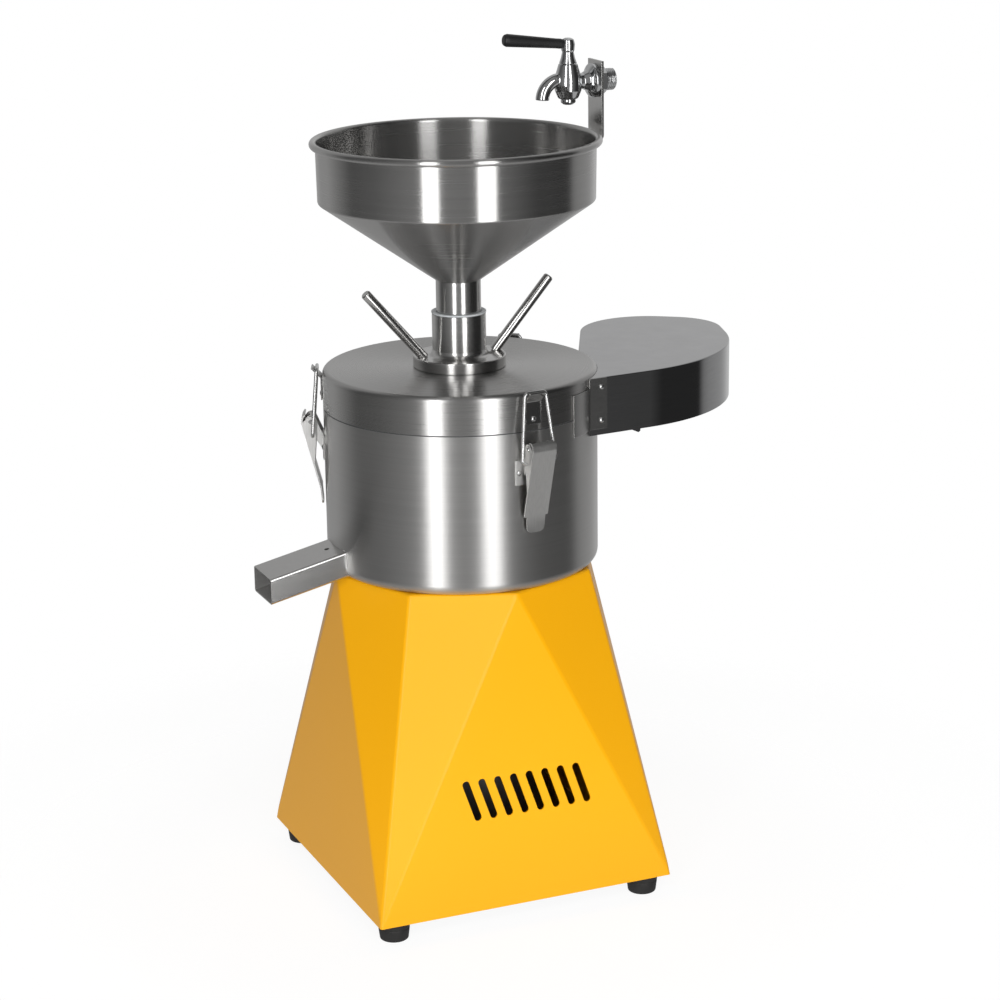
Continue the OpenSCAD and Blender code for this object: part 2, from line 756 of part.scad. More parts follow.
module keepers() {
    base_z0 = lid_z + 6;
    foot = bail_bar[1] - bail_bar[0] - 3.5;
    s = latch_sheet;
    tip = bail_bar[0] + 4.4;
    color(steel) for (i = [0:2]) at_latch(i) across(-keeper_half, 2*keeper_half)
        polygon([[0.1, base_z0], [0.1 + s, base_z0], [0.1 + s, foot - 0.7], [tip + 0.7*s, foot + tip - 0.7*s],
            [tip, foot + tip], [0.1, foot + 0.1]]);
}

module pulp_hood() {
    color(steel) difference() {
        translate([0, 0, hood_z]) linear_extrude(hood_h) hood_plan();
        translate([0, 0, hood_z - cut]) linear_extrude(hood_h - hood_sheet + cut)
            offset(delta = -hood_sheet) hood_plan();
        turned(lid_outline(gap, hood_z - cut));
    }
}

// The hood's front wall: x out along the wall from the hood's mouth, y across it, inwards
module on_hood_wall() {
    translate(hood_mouth[0]) rotate([0, 0, hood_wall_turn]) children();
}

module hood_flange() {
    edge = atan2(hood_leave_spot[1], hood_leave_spot[0]) - 0.6;
    reach = [edge - 14, edge];
    low = hood_z + 6;
    color(steel) {
        intersection() {
            ring(drum_r + gap, drum_r + gap + flange_sheet, low, hood_top_z - 9);
            linear_extrude(2*hood_top_z) polygon([[0, 0], for (a = reach) 2*drum_r*[cos(a), sin(a)]]);
        }
        on_hood_wall() translate([hood_wall_start, -hood_mouth_r - seat_fit - flange_sheet, low])
            cube([hood_flange_w, flange_sheet, hood_top_z - low]);
    }
}

// Toggle latches: plates with ears, pins, levers and wire bails
latch_plate_half = 19;
latch_plate_top = pivot_z - 12;
latch_plate_h = 24;

module latch_plates() {
    for (i = [0:2]) color(steel) difference() {
        union() {
            rotate([0, 0, latch_angles[i]]) intersection() {
                ring(drum_r + 0.05, drum_r + latch_sheet, latch_plate_top - latch_plate_h, latch_plate_top);
                translate([0, -latch_plate_half, 0]) cube([2*drum_r, 2*latch_plate_half, lid_top_z]);
            }
            at_latch(i) for (y = [-ear_out, ear_out - latch_sheet]) across(y, latch_sheet) {
                translate([latch_out, pivot_z]) circle(r = 5.5, $fn = 48);
                polygon([[latch_out - 3.5, pivot_z + 4.2], [latch_out + 4.2, pivot_z - 3.5],
                    [0.8, latch_plate_top - 16], [0.8, latch_plate_top]]);
            }
        }
        at_latch(i) translate([latch_out, -lever_w, pivot_z]) rotate([-90, 0, 0])
            cylinder(r = pivot_r + seat_fit, h = 2*lever_w, $fn = 48);
    }
}

module latch_pins() {
    color(chrome) for (i = [0:2]) at_latch(i) translate([latch_out, -lever_w/2 - 0.8, pivot_z])
        rotate([-90, 0, 0]) cylinder(r = pivot_r, h = lever_w + 1.6, $fn = 48);
}

module lever(i) {
    low = -lever_len;
    tip_len = 17;
    tip_turn = 10;
    color(steel) at_latch(i) difference() {
        union() {
            across(-lever_w/2, lever_w) translate([latch_out, pivot_z]) rotate(-lever_lean) {
                translate([roll_r - latch_sheet, low]) square([latch_sheet, -low]);
                intersection() {
                    difference() {
                        circle(r = roll_r);
                        circle(r = roll_r - latch_sheet);
                    }
                    polygon([[0, 0], [2*roll_r, 0], [2*roll_r, 2*roll_r], [roll_r, 2*roll_r]]);
                }
            }
            for (y = [-lever_w/2, lever_w/2 - latch_sheet]) across(y, latch_sheet) hull() {
                translate([latch_out, pivot_z]) circle(r = 5, $fn = 48);
                translate(bail_pivot) circle(r = 3.6, $fn = 48);
                translate([latch_out, pivot_z]) rotate(-lever_lean)
                    translate([roll_r - latch_sheet, low*0.62]) square([latch_sheet, -low*0.62]);
            }
            across(-lever_w/2 + 2.5, lever_w - 5) translate([latch_out, pivot_z]) rotate(-lever_lean)
                translate([roll_r - latch_sheet, low + 1]) rotate(tip_turn) translate([0, -tip_len])
                square([latch_sheet, tip_len]);
        }
        translate([latch_out, -lever_w, pivot_z]) rotate([-90, 0, 0])
            cylinder(r = pivot_r + run_fit, h = 2*lever_w, $fn = 48);
        translate([bail_pivot[0], -lever_w, bail_pivot[1]]) rotate([-90, 0, 0])
            cylinder(r = bail_r + run_fit, h = 2*lever_w, $fn = 48);
    }
}

module bail(i) {
    color(chrome) at_latch(i) {
        for (s = [-1, 1]) {
            foot = [bail_pivot[0], s*bail_foot_half, bail_pivot[1]];
            top = [bail_bar[0], s*bail_top_half, bail_bar[1]];
            bar([bail_pivot[0], s*bail_end_half, bail_pivot[1]], foot, bail_r);
            bar(foot, top, bail_r);
            translate(foot) sphere(r = bail_r + 0.15, $fn = 32);
            translate(top) sphere(r = bail_r + 0.15, $fn = 32);
        }
        bar([bail_bar[0], -bail_top_half, bail_bar[1]], [bail_bar[0], bail_top_half, bail_bar[1]], bail_r);
    }
}

module lever_front() { lever(0); }
module lever_back() { lever(1); }
module lever_left() { lever(2); }
module bail_front() { bail(0); }
module bail_back() { bail(1); }
module bail_left() { bail(2); }

// Rivet heads: two on each latch plate, one on each keeper, two on the hood's flange
module rivets() {
    head_r = 2.6;
    head_h = 1.2;
    module head() {
        cylinder(r1 = head_r, r2 = head_r*0.55, h = head_h, $fn = 32);
    }
    color(chrome) {
        for (i = [0:2]) at_latch(i) {
            for (y = [-15.4, 15.4]) translate([latch_sheet - (drum_r - sqrt(pow(drum_r, 2) - y*y)) + 0.1, y,
                latch_plate_top - latch_plate_h/2]) rotate([0, 90, asin(y/drum_r)]) head();
            translate([0.1 + latch_sheet, 0, lid_z + 11]) rotate([0, 90, 0]) head();
        }
        for (z = [hood_z + 14.5, hood_top_z - 8.5])
            on_hood_wall() translate([hood_wall_start + 12, -hood_mouth_r - seat_fit - flange_sheet, z])
            rotate([90, 0, 0]) head();
    }
}

// Rotor: shaft, core, fan, hub, basket and lower stone
module motor_shaft() {
    color(steel) {
        translate([0, 0, shaft_z]) cylinder(r = journal_r, h = hub_web_z - shaft_z);
        translate([0, 0, lower_bearing_z + bearing_w + 0.5])
            cylinder(r = shaft_mid_r, h = upper_bearing_z - lower_bearing_z - bearing_w - 1);
        translate([0, 0, hub_web_z - cut])
            cylinder(r = spindle_r, h = lower_stone_z + stone_t + stone_nut_h - hub_web_z);
    }
}

module rotor_core() {
    color(dark_steel) {
        ring(shaft_mid_r + seat_fit, stator_bore_r - 0.4, core_z, core_z + core_h);
        for (z = [core_z - 8, core_z + core_h]) ring(stator_bore_r - 14, stator_bore_r - 3, z, z + 8);
    }
}

module cooling_fan() {
    blades = 8;
    color(black) {
        ring(journal_r + seat_fit, fan_hub_r, fan_z, fan_top_z);
        ring(fan_hub_r - 1, fan_d/2, fan_top_z - 2, fan_top_z);
        for (k = [0:blades - 1]) rotate([0, 0, 360*k/blades])
            translate([fan_hub_r - 1, -1, fan_z]) cube([fan_d/2 - fan_hub_r, 2, fan_h - 1]);
    }
}

module drive_hub() {
    skirt_z = top_z + chimney_h - 10;
    color(steel) turned([[spindle_r + seat_fit, hub_web_z], [hub_r - 2, hub_web_z], [hub_r - 2, skirt_z],
        [hub_r, skirt_z], [hub_r, basket_z], [spindle_r + seat_fit, basket_z]]);
}

module filter_basket() {
    s = basket_sheet;
    color(steel) turned([[spindle_r + seat_fit, basket_z], [basket_bottom_r, basket_z],
        [basket_top_r, basket_top_z - s], [basket_top_r + basket_rim_w, basket_top_z - s],
        [basket_top_r + basket_rim_w, basket_top_z], [basket_top_r - 1, basket_top_z],
        [basket_bottom_r - 1, basket_z + s], [spindle_r + seat_fit, basket_z + s]]);
}

module stone_seat() {
    color(steel) ring(spindle_r + seat_fit, seat_r, basket_z + basket_sheet, lower_stone_z);
}

module lower_stone() {
    color(stone) difference() {
        ring(spindle_r + seat_fit, stone_r, lower_stone_z, lower_stone_z + stone_t);
        translate([0, 0, lower_stone_z + stone_t - 4]) cylinder(r1 = feed_r - 4, r2 = feed_r + 4, h = 4.01);
    }
}

module stone_nut() {
    color(steel) difference() {
        translate([0, 0, lower_stone_z + stone_t - 4]) cylinder(r = 13.5, h = stone_nut_h, $fn = 6);
        translate([0, 0, lower_stone_z]) cylinder(r = spindle_r + seat_fit, h = stone_t + 2*stone_nut_h);
    }
}

// Adjuster: captive nut with neck and rods, and the stone carrier that it raises and lowers
module adjusting_nut() {
    neck_in = spigot_r + gap;
    seat_z = neck_top_z - spigot_in - seal_t - 0.3;
    fillet = arc([neck_r + 6, nut_top_z + 6], 6, 270, 180);
    groove_z = sleeve_z + ring_up - 0.2;
    color(steel) difference() {
        turned(concat([[thread_r, sleeve_z], [sleeve_r, sleeve_z], [sleeve_r, nut_z], [nut_flange_r, nut_z],
            [nut_flange_r, nut_top_z - 1.5], [nut_flange_r - 1.5, nut_top_z]], fillet,
            [[neck_r, neck_top_z], [neck_in, neck_top_z], [neck_in, seat_z], [carrier_bore_r, seat_z],
            [carrier_bore_r, thread_top_z], [thread_r, thread_top_z]]));
        ring(sleeve_r - ring_groove, sleeve_r + cut, groove_z, groove_z + ring_t + 0.4);
        for (a = [0, 180]) rotate([0, 0, a]) on_rod() translate([0, 0, -7]) cylinder(r = 3 + seat_fit, h = 10);
    }
}

// A rod's own frame: z along the rod, from the flange's top
module on_rod() {
    translate([nut_flange_r - 8, 0, nut_top_z]) rotate([0, 90 - rod_rise, 0]) children();
}

module rod(a) {
    color(chrome) rotate([0, 0, a]) on_rod() {
        translate([0, 0, -6]) cylinder(r = 3, h = 15, $fn = 48);
        translate([0, 0, 8]) cylinder(r1 = 3.6, r2 = rod_d/2, h = 2.5, $fn = 48);
        translate([0, 0, 10.5]) cylinder(d = rod_d, h = rod_len - 1, $fn = 48);
        translate([0, 0, rod_len + 9.5]) cylinder(d1 = rod_d, d2 = rod_d - 2, h = 1, $fn = 48);
    }
}

module rod_left() { rod(180); }
module rod_right() { rod(0); }

module retaining_ring() {
    z = sleeve_z + ring_up;
    color(dark_steel) ring(sleeve_r - ring_groove + seat_fit, sleeve_r + 2.4, z, z + ring_t);
}

module neck_seal() {
    color(nylon) ring(spigot_r + gap, neck_r + 0.4, neck_top_z, neck_top_z + seal_t);
}

module stone_carrier() {
    color(steel) difference() {
        turned([[carrier_bore_r, carrier_z], [stone_r, carrier_z], [stone_r, carrier_z + carrier_flange_t],
            [thread_r - run_fit, carrier_z + carrier_flange_t], [thread_r - run_fit, carrier_top_z],
            [carrier_bore_r, carrier_top_z]]);
        for (a = [0, 180]) rotate([0, 0, a]) translate([0, guide_circle_r, carrier_z - cut])
            cylinder(r = guide_r + run_fit, h = carrier_flange_t + 2*cut, $fn = 48);
    }
}

module upper_stone() {
    color(stone) difference() {
        ring(feed_r, stone_r, upper_stone_z, carrier_z);
        translate([0, 0, upper_stone_z - 0.01]) cylinder(r1 = feed_r + 8, r2 = feed_r, h = 5);
    }
}

// Hopper with its spigot, and the tap on its bracket
module hopper_bowl() {
    s = hopper_sheet;
    low_r = hopper_r - hopper_taper;
    slope = atan(hopper_cone_h/(low_r - spigot_r));
    lift = s/cos(slope);
    inner_r = spigot_r - s - 0.2;
    color(steel) rotate_extrude($fn = 128) {
        polygon([[spigot_r, cone_z], [low_r, wall_z], [hopper_r, wall_top_z], [hopper_r - s, wall_top_z],
            [low_r - s, wall_z + lift - s*tan(slope)], [inner_r, cone_z + lift - (spigot_r - inner_r)*tan(slope)],
            [inner_r, cone_z]]);
        translate([hopper_r - s + bead_r, wall_top_z]) circle(r = bead_r, $fn = 48);
    }
}

module hopper_spigot() {
    color(steel) ring(spigot_r - hopper_sheet - 0.2, spigot_r, neck_top_z - spigot_in, cone_z);
}

module tap_bracket() {
    wall_x = hopper_r + gap;
    bend_z = wall_top_z - bead_r - 10;
    step = bracket_x - bracket_t - wall_x;
    color(steel) difference() {
        across(-bracket_w/2, bracket_w) polygon([[wall_x, wall_z + 6], [wall_x + bracket_t, wall_z + 6],
            [wall_x + bracket_t, bend_z - 1], [bracket_x, bend_z + 0.8*step - 1], [bracket_x, tap_z + 19],
            [bracket_x - bracket_t, tap_z + 19], [bracket_x - bracket_t, bend_z + 0.8*step], [wall_x, bend_z]]);
        translate([bracket_x - 2*bracket_t, 0, tap_z]) rotate([0, 90, 0])
            cylinder(r = tail_r + 0.1, h = 4*bracket_t);
    }
}

// A solid turned about the tap's inlet, from a half profile of distance and radius
module on_inlet(points) {
    translate([bracket_x, 0, tap_z]) rotate([0, 90, 0]) rotate_extrude($fn = 64)
        polygon([for (p = points) [p[1], p[0]]]);
}

tap_flange_r = tail_r + 5.5;
barrel_low = 15.5;
barrel_top = 17;
spout_bend = 18;
spout_r = 6.5;
spout_bore_r = 4.5;
water_r = 5;

module tap_body() {
    face = -bracket_t;
    relief = locknut_t + tail_relief;
    tail_end = relief + tail_free;
    color(chrome) difference() {
        union() {
            on_inlet([[-tap_reach, 0], [-tap_reach, 7.5], [face - 13, 7.5], [face - 8, 10], [face - 5, tap_flange_r],
                [face, tap_flange_r], [face, tail_r], [locknut_t, tail_r], [locknut_t, tail_r - 0.8],
                [relief, tail_r - 0.8], [relief, tail_r], [tail_end, tail_r], [tail_end, 0]]);
            translate([stem_x, 0, tap_z]) turned([[0, -barrel_low], [9, -barrel_low], [10, -barrel_low + 1.5],
                [12.5, -8], [13, -2], [12.6, 4], [11, 9.5], [9.8, 13.5], [8.8, barrel_top], [0, barrel_top]]);
            translate([stem_x - spout_reach + spout_bend, 0, tap_z - barrel_low]) rotate([90, 0, 0])
                rotate([0, 0, 90]) rotate_extrude(angle = 90, $fn = 64) translate([spout_bend, 0])
                circle(r = spout_r, $fn = 48);
            translate([stem_x - spout_reach + spout_bend, 0, tap_z - barrel_low + spout_bend]) rotate([0, 90, 0])
                cylinder(r1 = spout_r, r2 = spout_r + 2.5, h = spout_reach - spout_bend, $fn = 48);
        }
        translate([stem_x, 0, tap_z - barrel_low - cut])
            cylinder(r = plug_r + run_fit, h = barrel_low + barrel_top + 2*cut, $fn = 64);
        translate([stem_x, 0, tap_z]) rotate([0, 90, 0]) cylinder(r = water_r, h = tap_reach + tail_end + cut);
        translate([stem_x - spout_reach, 0, tap_z - barrel_low - cut]) cylinder(r = spout_bore_r, h = 10 + cut);
    }
}

module tap_locknut() {
    color(chrome) translate([bracket_x, 0, tap_z]) rotate([0, 90, 0]) difference() {
        cylinder(r = tail_r + 4.8, h = locknut_t, $fn = 6);
        translate([0, 0, -cut]) cylinder(r = tail_r + seat_fit, h = locknut_t + 2*cut);
    }
}

hub_z = tap_z + 35;
grip_tilt = 6.4;

// The grip's own frame: z out along the grip, from the middle of the hub
module on_grip() {
    translate([stem_x, 0, hub_z]) rotate([0, -90 + grip_tilt, 0]) children();
}

module tap_plug() {
    low = tap_z - barrel_low;
    color(chrome) difference() {
        union() {
            translate([stem_x, 0, 0]) turned([[0, low - 5.5], [4.5, low - 5.5], [7, low - 3.5], [7, low - gap],
                [plug_r, low - gap], [plug_r, tap_z + barrel_top + gap], [8.4, tap_z + barrel_top + gap],
                [5.4, hub_z - 7], [6.2, hub_z - 5.5], [6.6, hub_z], [5.6, hub_z + 4.4], [3, hub_z + 5.8],
                [0, hub_z + 6]]);
            on_grip() cylinder(r = 2.5, h = 18, $fn = 48);
        }
        translate([stem_x, -plug_r - cut, tap_z]) rotate([-90, 0, 0]) cylinder(r = 3.5, h = 2*plug_r + 2*cut);
    }
}

module tap_grip() {
    color(black) on_grip() translate([0, 0, 6.9]) difference() {
        union() {
            cylinder(r1 = 4.5, r2 = grip_d/2, h = grip_len - 3, $fn = 64);
            translate([0, 0, grip_len - 3]) cylinder(r1 = grip_d/2, r2 = grip_d/2 - 1.6, h = 3, $fn = 64);
        }
        translate([0, 0, -cut]) cylinder(r = 2.5 + seat_fit, h = 12.5 + cut, $fn = 48);
    }
}

base_housing();
base_top();
floor_plate();
feet();
foot_screws();
motor_plate();
drum_bolts();
upper_end_bell();
motor_shell();
stator_core();
stator_windings();
lower_end_bell();
bearings();
fan_cowl();
capacitor();
terminal_block();
switch_body();
switch_rocker();
cable_gland();
drum_bowl();
shaft_seal();
splash_ring();
milk_outlet();
latch_plates();
latch_pins();
rivets();
lid_gasket();
lid();
keepers();
pulp_hood();
hood_flange();
guide_pins();
motor_shaft();
rotor_core();
cooling_fan();
drive_hub();
filter_basket();
stone_seat();
lower_stone();
stone_nut();
adjusting_nut();
rod_left();
rod_right();
retaining_ring();
neck_seal();
stone_carrier();
upper_stone();
hopper_bowl();
hopper_spigot();
tap_bracket();
tap_body();
tap_locknut();
tap_plug();
tap_grip();
lever_front();
lever_back();
lever_left();
bail_front();
bail_back();
bail_left();
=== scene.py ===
import math
import bpy
import bmesh
from mathutils import Matrix, Vector


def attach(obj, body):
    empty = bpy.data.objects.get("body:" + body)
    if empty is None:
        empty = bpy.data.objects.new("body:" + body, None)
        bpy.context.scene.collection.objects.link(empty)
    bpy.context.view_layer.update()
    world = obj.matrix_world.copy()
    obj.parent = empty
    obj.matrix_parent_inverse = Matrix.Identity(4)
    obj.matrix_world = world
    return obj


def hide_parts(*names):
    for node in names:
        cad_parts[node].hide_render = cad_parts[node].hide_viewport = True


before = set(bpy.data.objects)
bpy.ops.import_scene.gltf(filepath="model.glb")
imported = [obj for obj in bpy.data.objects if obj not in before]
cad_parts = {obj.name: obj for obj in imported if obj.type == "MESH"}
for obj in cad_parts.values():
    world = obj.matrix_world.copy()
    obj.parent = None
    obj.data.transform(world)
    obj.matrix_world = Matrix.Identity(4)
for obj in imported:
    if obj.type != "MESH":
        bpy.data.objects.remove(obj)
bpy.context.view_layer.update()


# Feet: four moulded rubber buffers, tapered towards the floor, with a sunk hole for the screw.
# Each stands near a corner of the base and is pulled up against the floor plate by its screw.

MM = 0.001
FLAT_WEIGHT = 90


def ease(outline, radius=0.5, steps=4):
    """Rounds the corners of a closed outline in mm. A third number on a point is its own radius."""
    made = []
    count = len(outline)
    for i, spot in enumerate(outline):
        here = Vector(spot[:2])
        back = Vector(outline[i - 1][:2]) - here
        ahead = Vector(outline[(i + 1) % count][:2]) - here
        want = spot[2] if len(spot) > 2 else radius
        if want < 0.01 or back.length < 0.01 or ahead.length < 0.01:
            made.append(here)
            continue
        half = back.angle(ahead) / 2
        reach = min(want / math.tan(half), 0.45 * back.length, 0.45 * ahead.length)
        back.normalize()
        ahead.normalize()
        if half > math.radians(88):
            made.append(here)
            continue
        middle = here + (back + ahead).normalized() * reach / math.cos(half)
        start = here + back * reach - middle
        end = here + ahead * reach - middle
        turn = math.atan2(start.x * end.y - start.y * end.x, start.dot(end))
        for k in range(steps + 1):
            a = turn * k / steps
            made.append(middle + Vector((start.x * math.cos(a) - start.y * math.sin(a),
                                         start.x * math.sin(a) + start.y * math.cos(a))))
    return [(p.x, p.y) for p in made]


def spin(outline, steps=192):
    """A closed outline of radius and height in mm, turned about Z."""
    shape = bmesh.new()
    rings = []
    for r, z in outline:
        if r < 1e-6:
            rings.append([shape.verts.new((0, 0, z * MM))] * steps)
            continue
        turns = [2 * math.pi * i / steps for i in range(steps)]
        rings.append([shape.verts.new((r * MM * math.cos(a), r * MM * math.sin(a), z * MM)) for a in turns])
    for low, high in zip(rings, rings[1:] + rings[:1]):
        for i in range(steps):
            j = (i + 1) % steps
            corners = list(dict.fromkeys((low[i], low[j], high[j], high[i])))
            if len(corners) > 2:
                shape.faces.new(corners)
    bmesh.ops.recalc_face_normals(shape, faces=shape.faces)
    return shape


def settle(piece):
    """Makes what the modifiers give the piece's own plain mesh."""
    bpy.context.view_layer.update()
    made = bpy.data.meshes.new_from_object(piece.evaluated_get(bpy.context.evaluated_depsgraph_get()))
    piece.modifiers.clear()
    old = piece.data
    piece.data = made
    made.name = piece.name
    bpy.data.meshes.remove(old)
    return piece


def stand(name, data):
    """A new object in the scene."""
    piece = bpy.data.objects.new(name, data)
    bpy.context.scene.collection.objects.link(piece)
    return piece


def crease(piece, sharp):
    """Keeps the edges of a smooth piece crisp where they turn by more than some degrees."""
    piece.data.set_sharp_from_angle(angle=math.radians(sharp))


def round_edges(piece, edge, segments, sharp):
    """Rounds the edges that turn by more than some degrees, to a width in mm."""
    step = piece.modifiers.new("edge", "BEVEL")
    step.width = edge * MM
    step.segments = segments
    step.limit_method = "ANGLE"
    step.angle_limit = math.radians(sharp)


def soften(piece, edge, segments, sharp):
    """Rounds the sharp edges of a piece and keeps its flats looking flat."""
    round_edges(piece, edge, segments, sharp)
    piece.modifiers.new("flats", "WEIGHTED_NORMAL").weight = FLAT_WEIGHT
    settle(piece)


def shape_piece(name, shape, finish, edge=0.0, segments=3, sharp=30):
    """An object from a shape. With an edge in mm its sharp edges are rounded."""
    mesh = bpy.data.meshes.new(name)
    shape.to_mesh(mesh)
    shape.free()
    mesh.materials.append(finish)
    mesh.shade_smooth()
    piece = stand(name, mesh)
    if edge:
        soften(piece, edge, segments, sharp)
    else:
        crease(piece, sharp)
    return piece


class Feed:
    """A socket of a node tree. Sums and products of feeds add Math nodes to the tree."""

    def __init__(self, tree, socket=None):
        self.tree = tree
        self.socket = socket

    def node(self, kind, settings=None, sockets=None, out=0):
        made = self.tree.nodes.new(kind)
        for name, value in (settings or {}).items():
            if name == "stops":
                stops = made.color_ramp.elements
                for spot, (place, tone) in enumerate(value):
                    stop = stops[spot] if spot < 2 else stops.new(place)
                    stop.position = place
                    stop.color = (tone, tone, tone, 1)
            else:
                setattr(made, name, value)
        for name, value in (sockets or {}).items():
            for part in value if isinstance(value, list) else [value]:
                if isinstance(part, Feed):
                    self.tree.links.new(part.socket, made.inputs[name])
                else:
                    made.inputs[name].default_value = part
        return Feed(self.tree, made.outputs[out] if len(made.outputs) else None)

    def maths(self, operation, a, b=0.0):
        return self.node("ShaderNodeMath", {"operation": operation}, {0: a, 1: b})

    def triple(self, **parts):
        return self.node("ShaderNodeCombineXYZ", {}, parts)

    def __add__(self, other):
        return self.maths("ADD", self, other)

    def __sub__(self, other):
        return self.maths("SUBTRACT", self, other)

    def __rsub__(self, other):
        return self.maths("SUBTRACT", other, self)

    def __mul__(self, other):
        return self.maths("MULTIPLY", self, other)

    def __truediv__(self, other):
        return self.maths("DIVIDE", self, other)

    __radd__ = __add__
    __rmul__ = __mul__


def open_finish(name):
    """An empty material, its tree and its own place in metres."""
    finish = bpy.data.materials.new(name)
    finish.use_nodes = True
    finish.node_tree.nodes.clear()
    feed = Feed(finish.node_tree)
    return finish, feed, feed.node("ShaderNodeTexCoord", out="Object")


def noise(place, scale, detail=3.0, rough=0.5):
    return place.node("ShaderNodeTexNoise", {}, {
        "Vector": place, "Scale": scale, "Detail": detail, "Roughness": rough})


def blend(feed, share, a, b):
    """A colour between two others."""
    return feed.node("ShaderNodeMix", {"data_type": "RGBA"}, {0: share, 6: a, 7: b}, out=2)


def relief(height, depth, strength=1.0):
    """A bump of a given depth in metres."""
    return height.node("ShaderNodeBump", {}, {"Strength": strength, "Distance": depth, "Height": height})


def close_finish(feed, sockets):
    """Ends a material in its shader, with constants set on the shader's own sockets."""
    surface = feed.node("ShaderNodeBsdfPrincipled", {}, sockets)
    feed.node("ShaderNodeOutputMaterial", {}, {"Surface": surface})


def grow(piece, name, sizes, finish, build):
    """Puts a geometry node tree with named sizes on a piece. build turns its feeds into the shape."""
    tree = bpy.data.node_groups.new(name, "GeometryNodeTree")
    face = tree.interface
    face.new_socket("Shape", in_out="INPUT", socket_type="NodeSocketGeometry")
    keys = {}
    for size, value in sizes.items():
        kind = {int: "NodeSocketInt", float: "NodeSocketFloat"}.get(type(value), "NodeSocketObject")
        keys[size] = face.new_socket(size, in_out="INPUT", socket_type=kind).identifier
    face.new_socket("Shape", in_out="OUTPUT", socket_type="NodeSocketGeometry")
    entry = tree.nodes.new("NodeGroupInput")
    shape = build({size: Feed(tree, entry.outputs[size]) for size in ("Shape", *sizes)})
    shape = shape.node("GeometryNodeRealizeInstances", {}, {"Geometry": shape})
    shape = shape.node("GeometryNodeSetMaterial", {}, {"Geometry": shape, "Material": finish})
    shape.node("NodeGroupOutput", {}, {"Shape": shape})
    step = piece.modifiers.new(name, "NODES")
    step.node_group = tree
    for size, value in sizes.items():
        step[keys[size]] = value


def seat(piece, body, slot, *nodes):
    """Hands a finished piece to its body, in the place of its nodes. The slot is not used."""
    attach(piece, body)
    if nodes:
        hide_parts(*nodes)


rubber, feed, place = open_finish("foot_rubber")
grain = noise(place, 2400.0, 2.0)
dust = noise(place, 90.0, 4.0)
close_finish(feed, {
    "Base Color": blend(feed, dust, (0.010, 0.010, 0.010, 1), (0.026, 0.025, 0.024, 1)),
    "Roughness": 0.5 + 0.22 * dust,
    "Normal": relief(grain, 0.00012, 0.5)})

foot_shape = spin(ease([(5.2, 0, 0.6), (13.4, 0, 1.6), (14.8, 11, 0.4), (14.4, 12.2, 0.4), (15.1, 13.4, 0.4),
                        (16, 20, 0.7), (2.6, 20, 0), (2.6, 11, 0), (5.2, 11, 0)], steps=3), 64)
feet = shape_piece("rubber_feet", foot_shape, rubber, sharp=40)


def set_on_corners(at):
    corners = at["Shape"].node("GeometryNodeMeshGrid", {}, {
        "Size X": at["Spacing"], "Size Y": at["Spacing"], "Vertices X": 2, "Vertices Y": 2})
    return corners.node("GeometryNodeInstanceOnPoints", {}, {"Points": corners, "Instance": at["Shape"]})


grow(feet, "feet on the corners", {"Spacing": 0.258}, rubber, set_on_corners)
seat(settle(feet), "frame", "rubber_foot", "feet")


# Floor plate and foot screws: a galvanised sheet that closes the base from below, and zinc screws with nuts.
# The screws go up through the feet and clamp them to the plate.

def stretch(place, x, y, z):
    """A place drawn out by a factor along each axis."""
    return place.node("ShaderNodeVectorMath", {"operation": "MULTIPLY"}, {0: place, 1: (x, y, z)})


def coat(finish, *nodes):
    """Gives nodes that keep their own shape a finish."""
    for node in nodes:
        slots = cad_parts[node].data.materials
        slots.clear()
        slots.append(finish)


zinc, feed, place = open_finish("bright_zinc")
spangle = noise(place, 160.0, 2.0)
scuff = noise(stretch(place, 1, 6, 1), 420.0, 4.0)
close_finish(feed, {
    "Base Color": blend(feed, spangle, (0.46, 0.47, 0.48, 1), (0.66, 0.67, 0.68, 1)),
    "Metallic": 1.0,
    "Roughness": 0.24 + 0.2 * scuff,
    "Normal": relief(scuff, 0.00004, 0.4)})
coat(zinc, "foot_screws", "floor_plate", "drum_bolts", "guide_pins", "retaining_ring", "stone_nut")


# Base housing: steel sheet folded from a square bottom to an octagon top, with a row of slanted vents in the
# front and the back. It is powder coated in gloss yellow and carries the motor and the drum.

FOOT_H, BASE_H, BASE_SIDE, OCTAGON_R = 20.0, 301.0, 300.0, 130.0
BASE_SHEET, FOLD_R = 1.5, 2.4
SWITCH_UP, GLAND_AT = 120.0, (-90, 45)
TOP_Z = FOOT_H + BASE_H
LEAN = math.atan((BASE_SIDE / 2 - OCTAGON_R) / BASE_H)

yellow, feed, place = open_finish("yellow_powder_coat")
peel = noise(place, 640.0, 2.0)
cloud = noise(place, 5.0, 3.0)
speck = noise(place, 1500.0, 1.0)
coat_tone = blend(feed, cloud, (0.855, 0.395, 0.0006, 1), (0.885, 0.412, 0.001, 1))
close_finish(feed, {
    "Base Color": blend(feed, 0.25 * speck, coat_tone, (0.80, 0.365, 0.001, 1)),
    "Roughness": 0.33 + 0.1 * cloud + 0.05 * speck,
    "Specular IOR Level": 0.28,
    "Coat Weight": 0.2,
    "Coat Roughness": 0.2,
    "Normal": relief(peel, 0.00006, 0.35)})


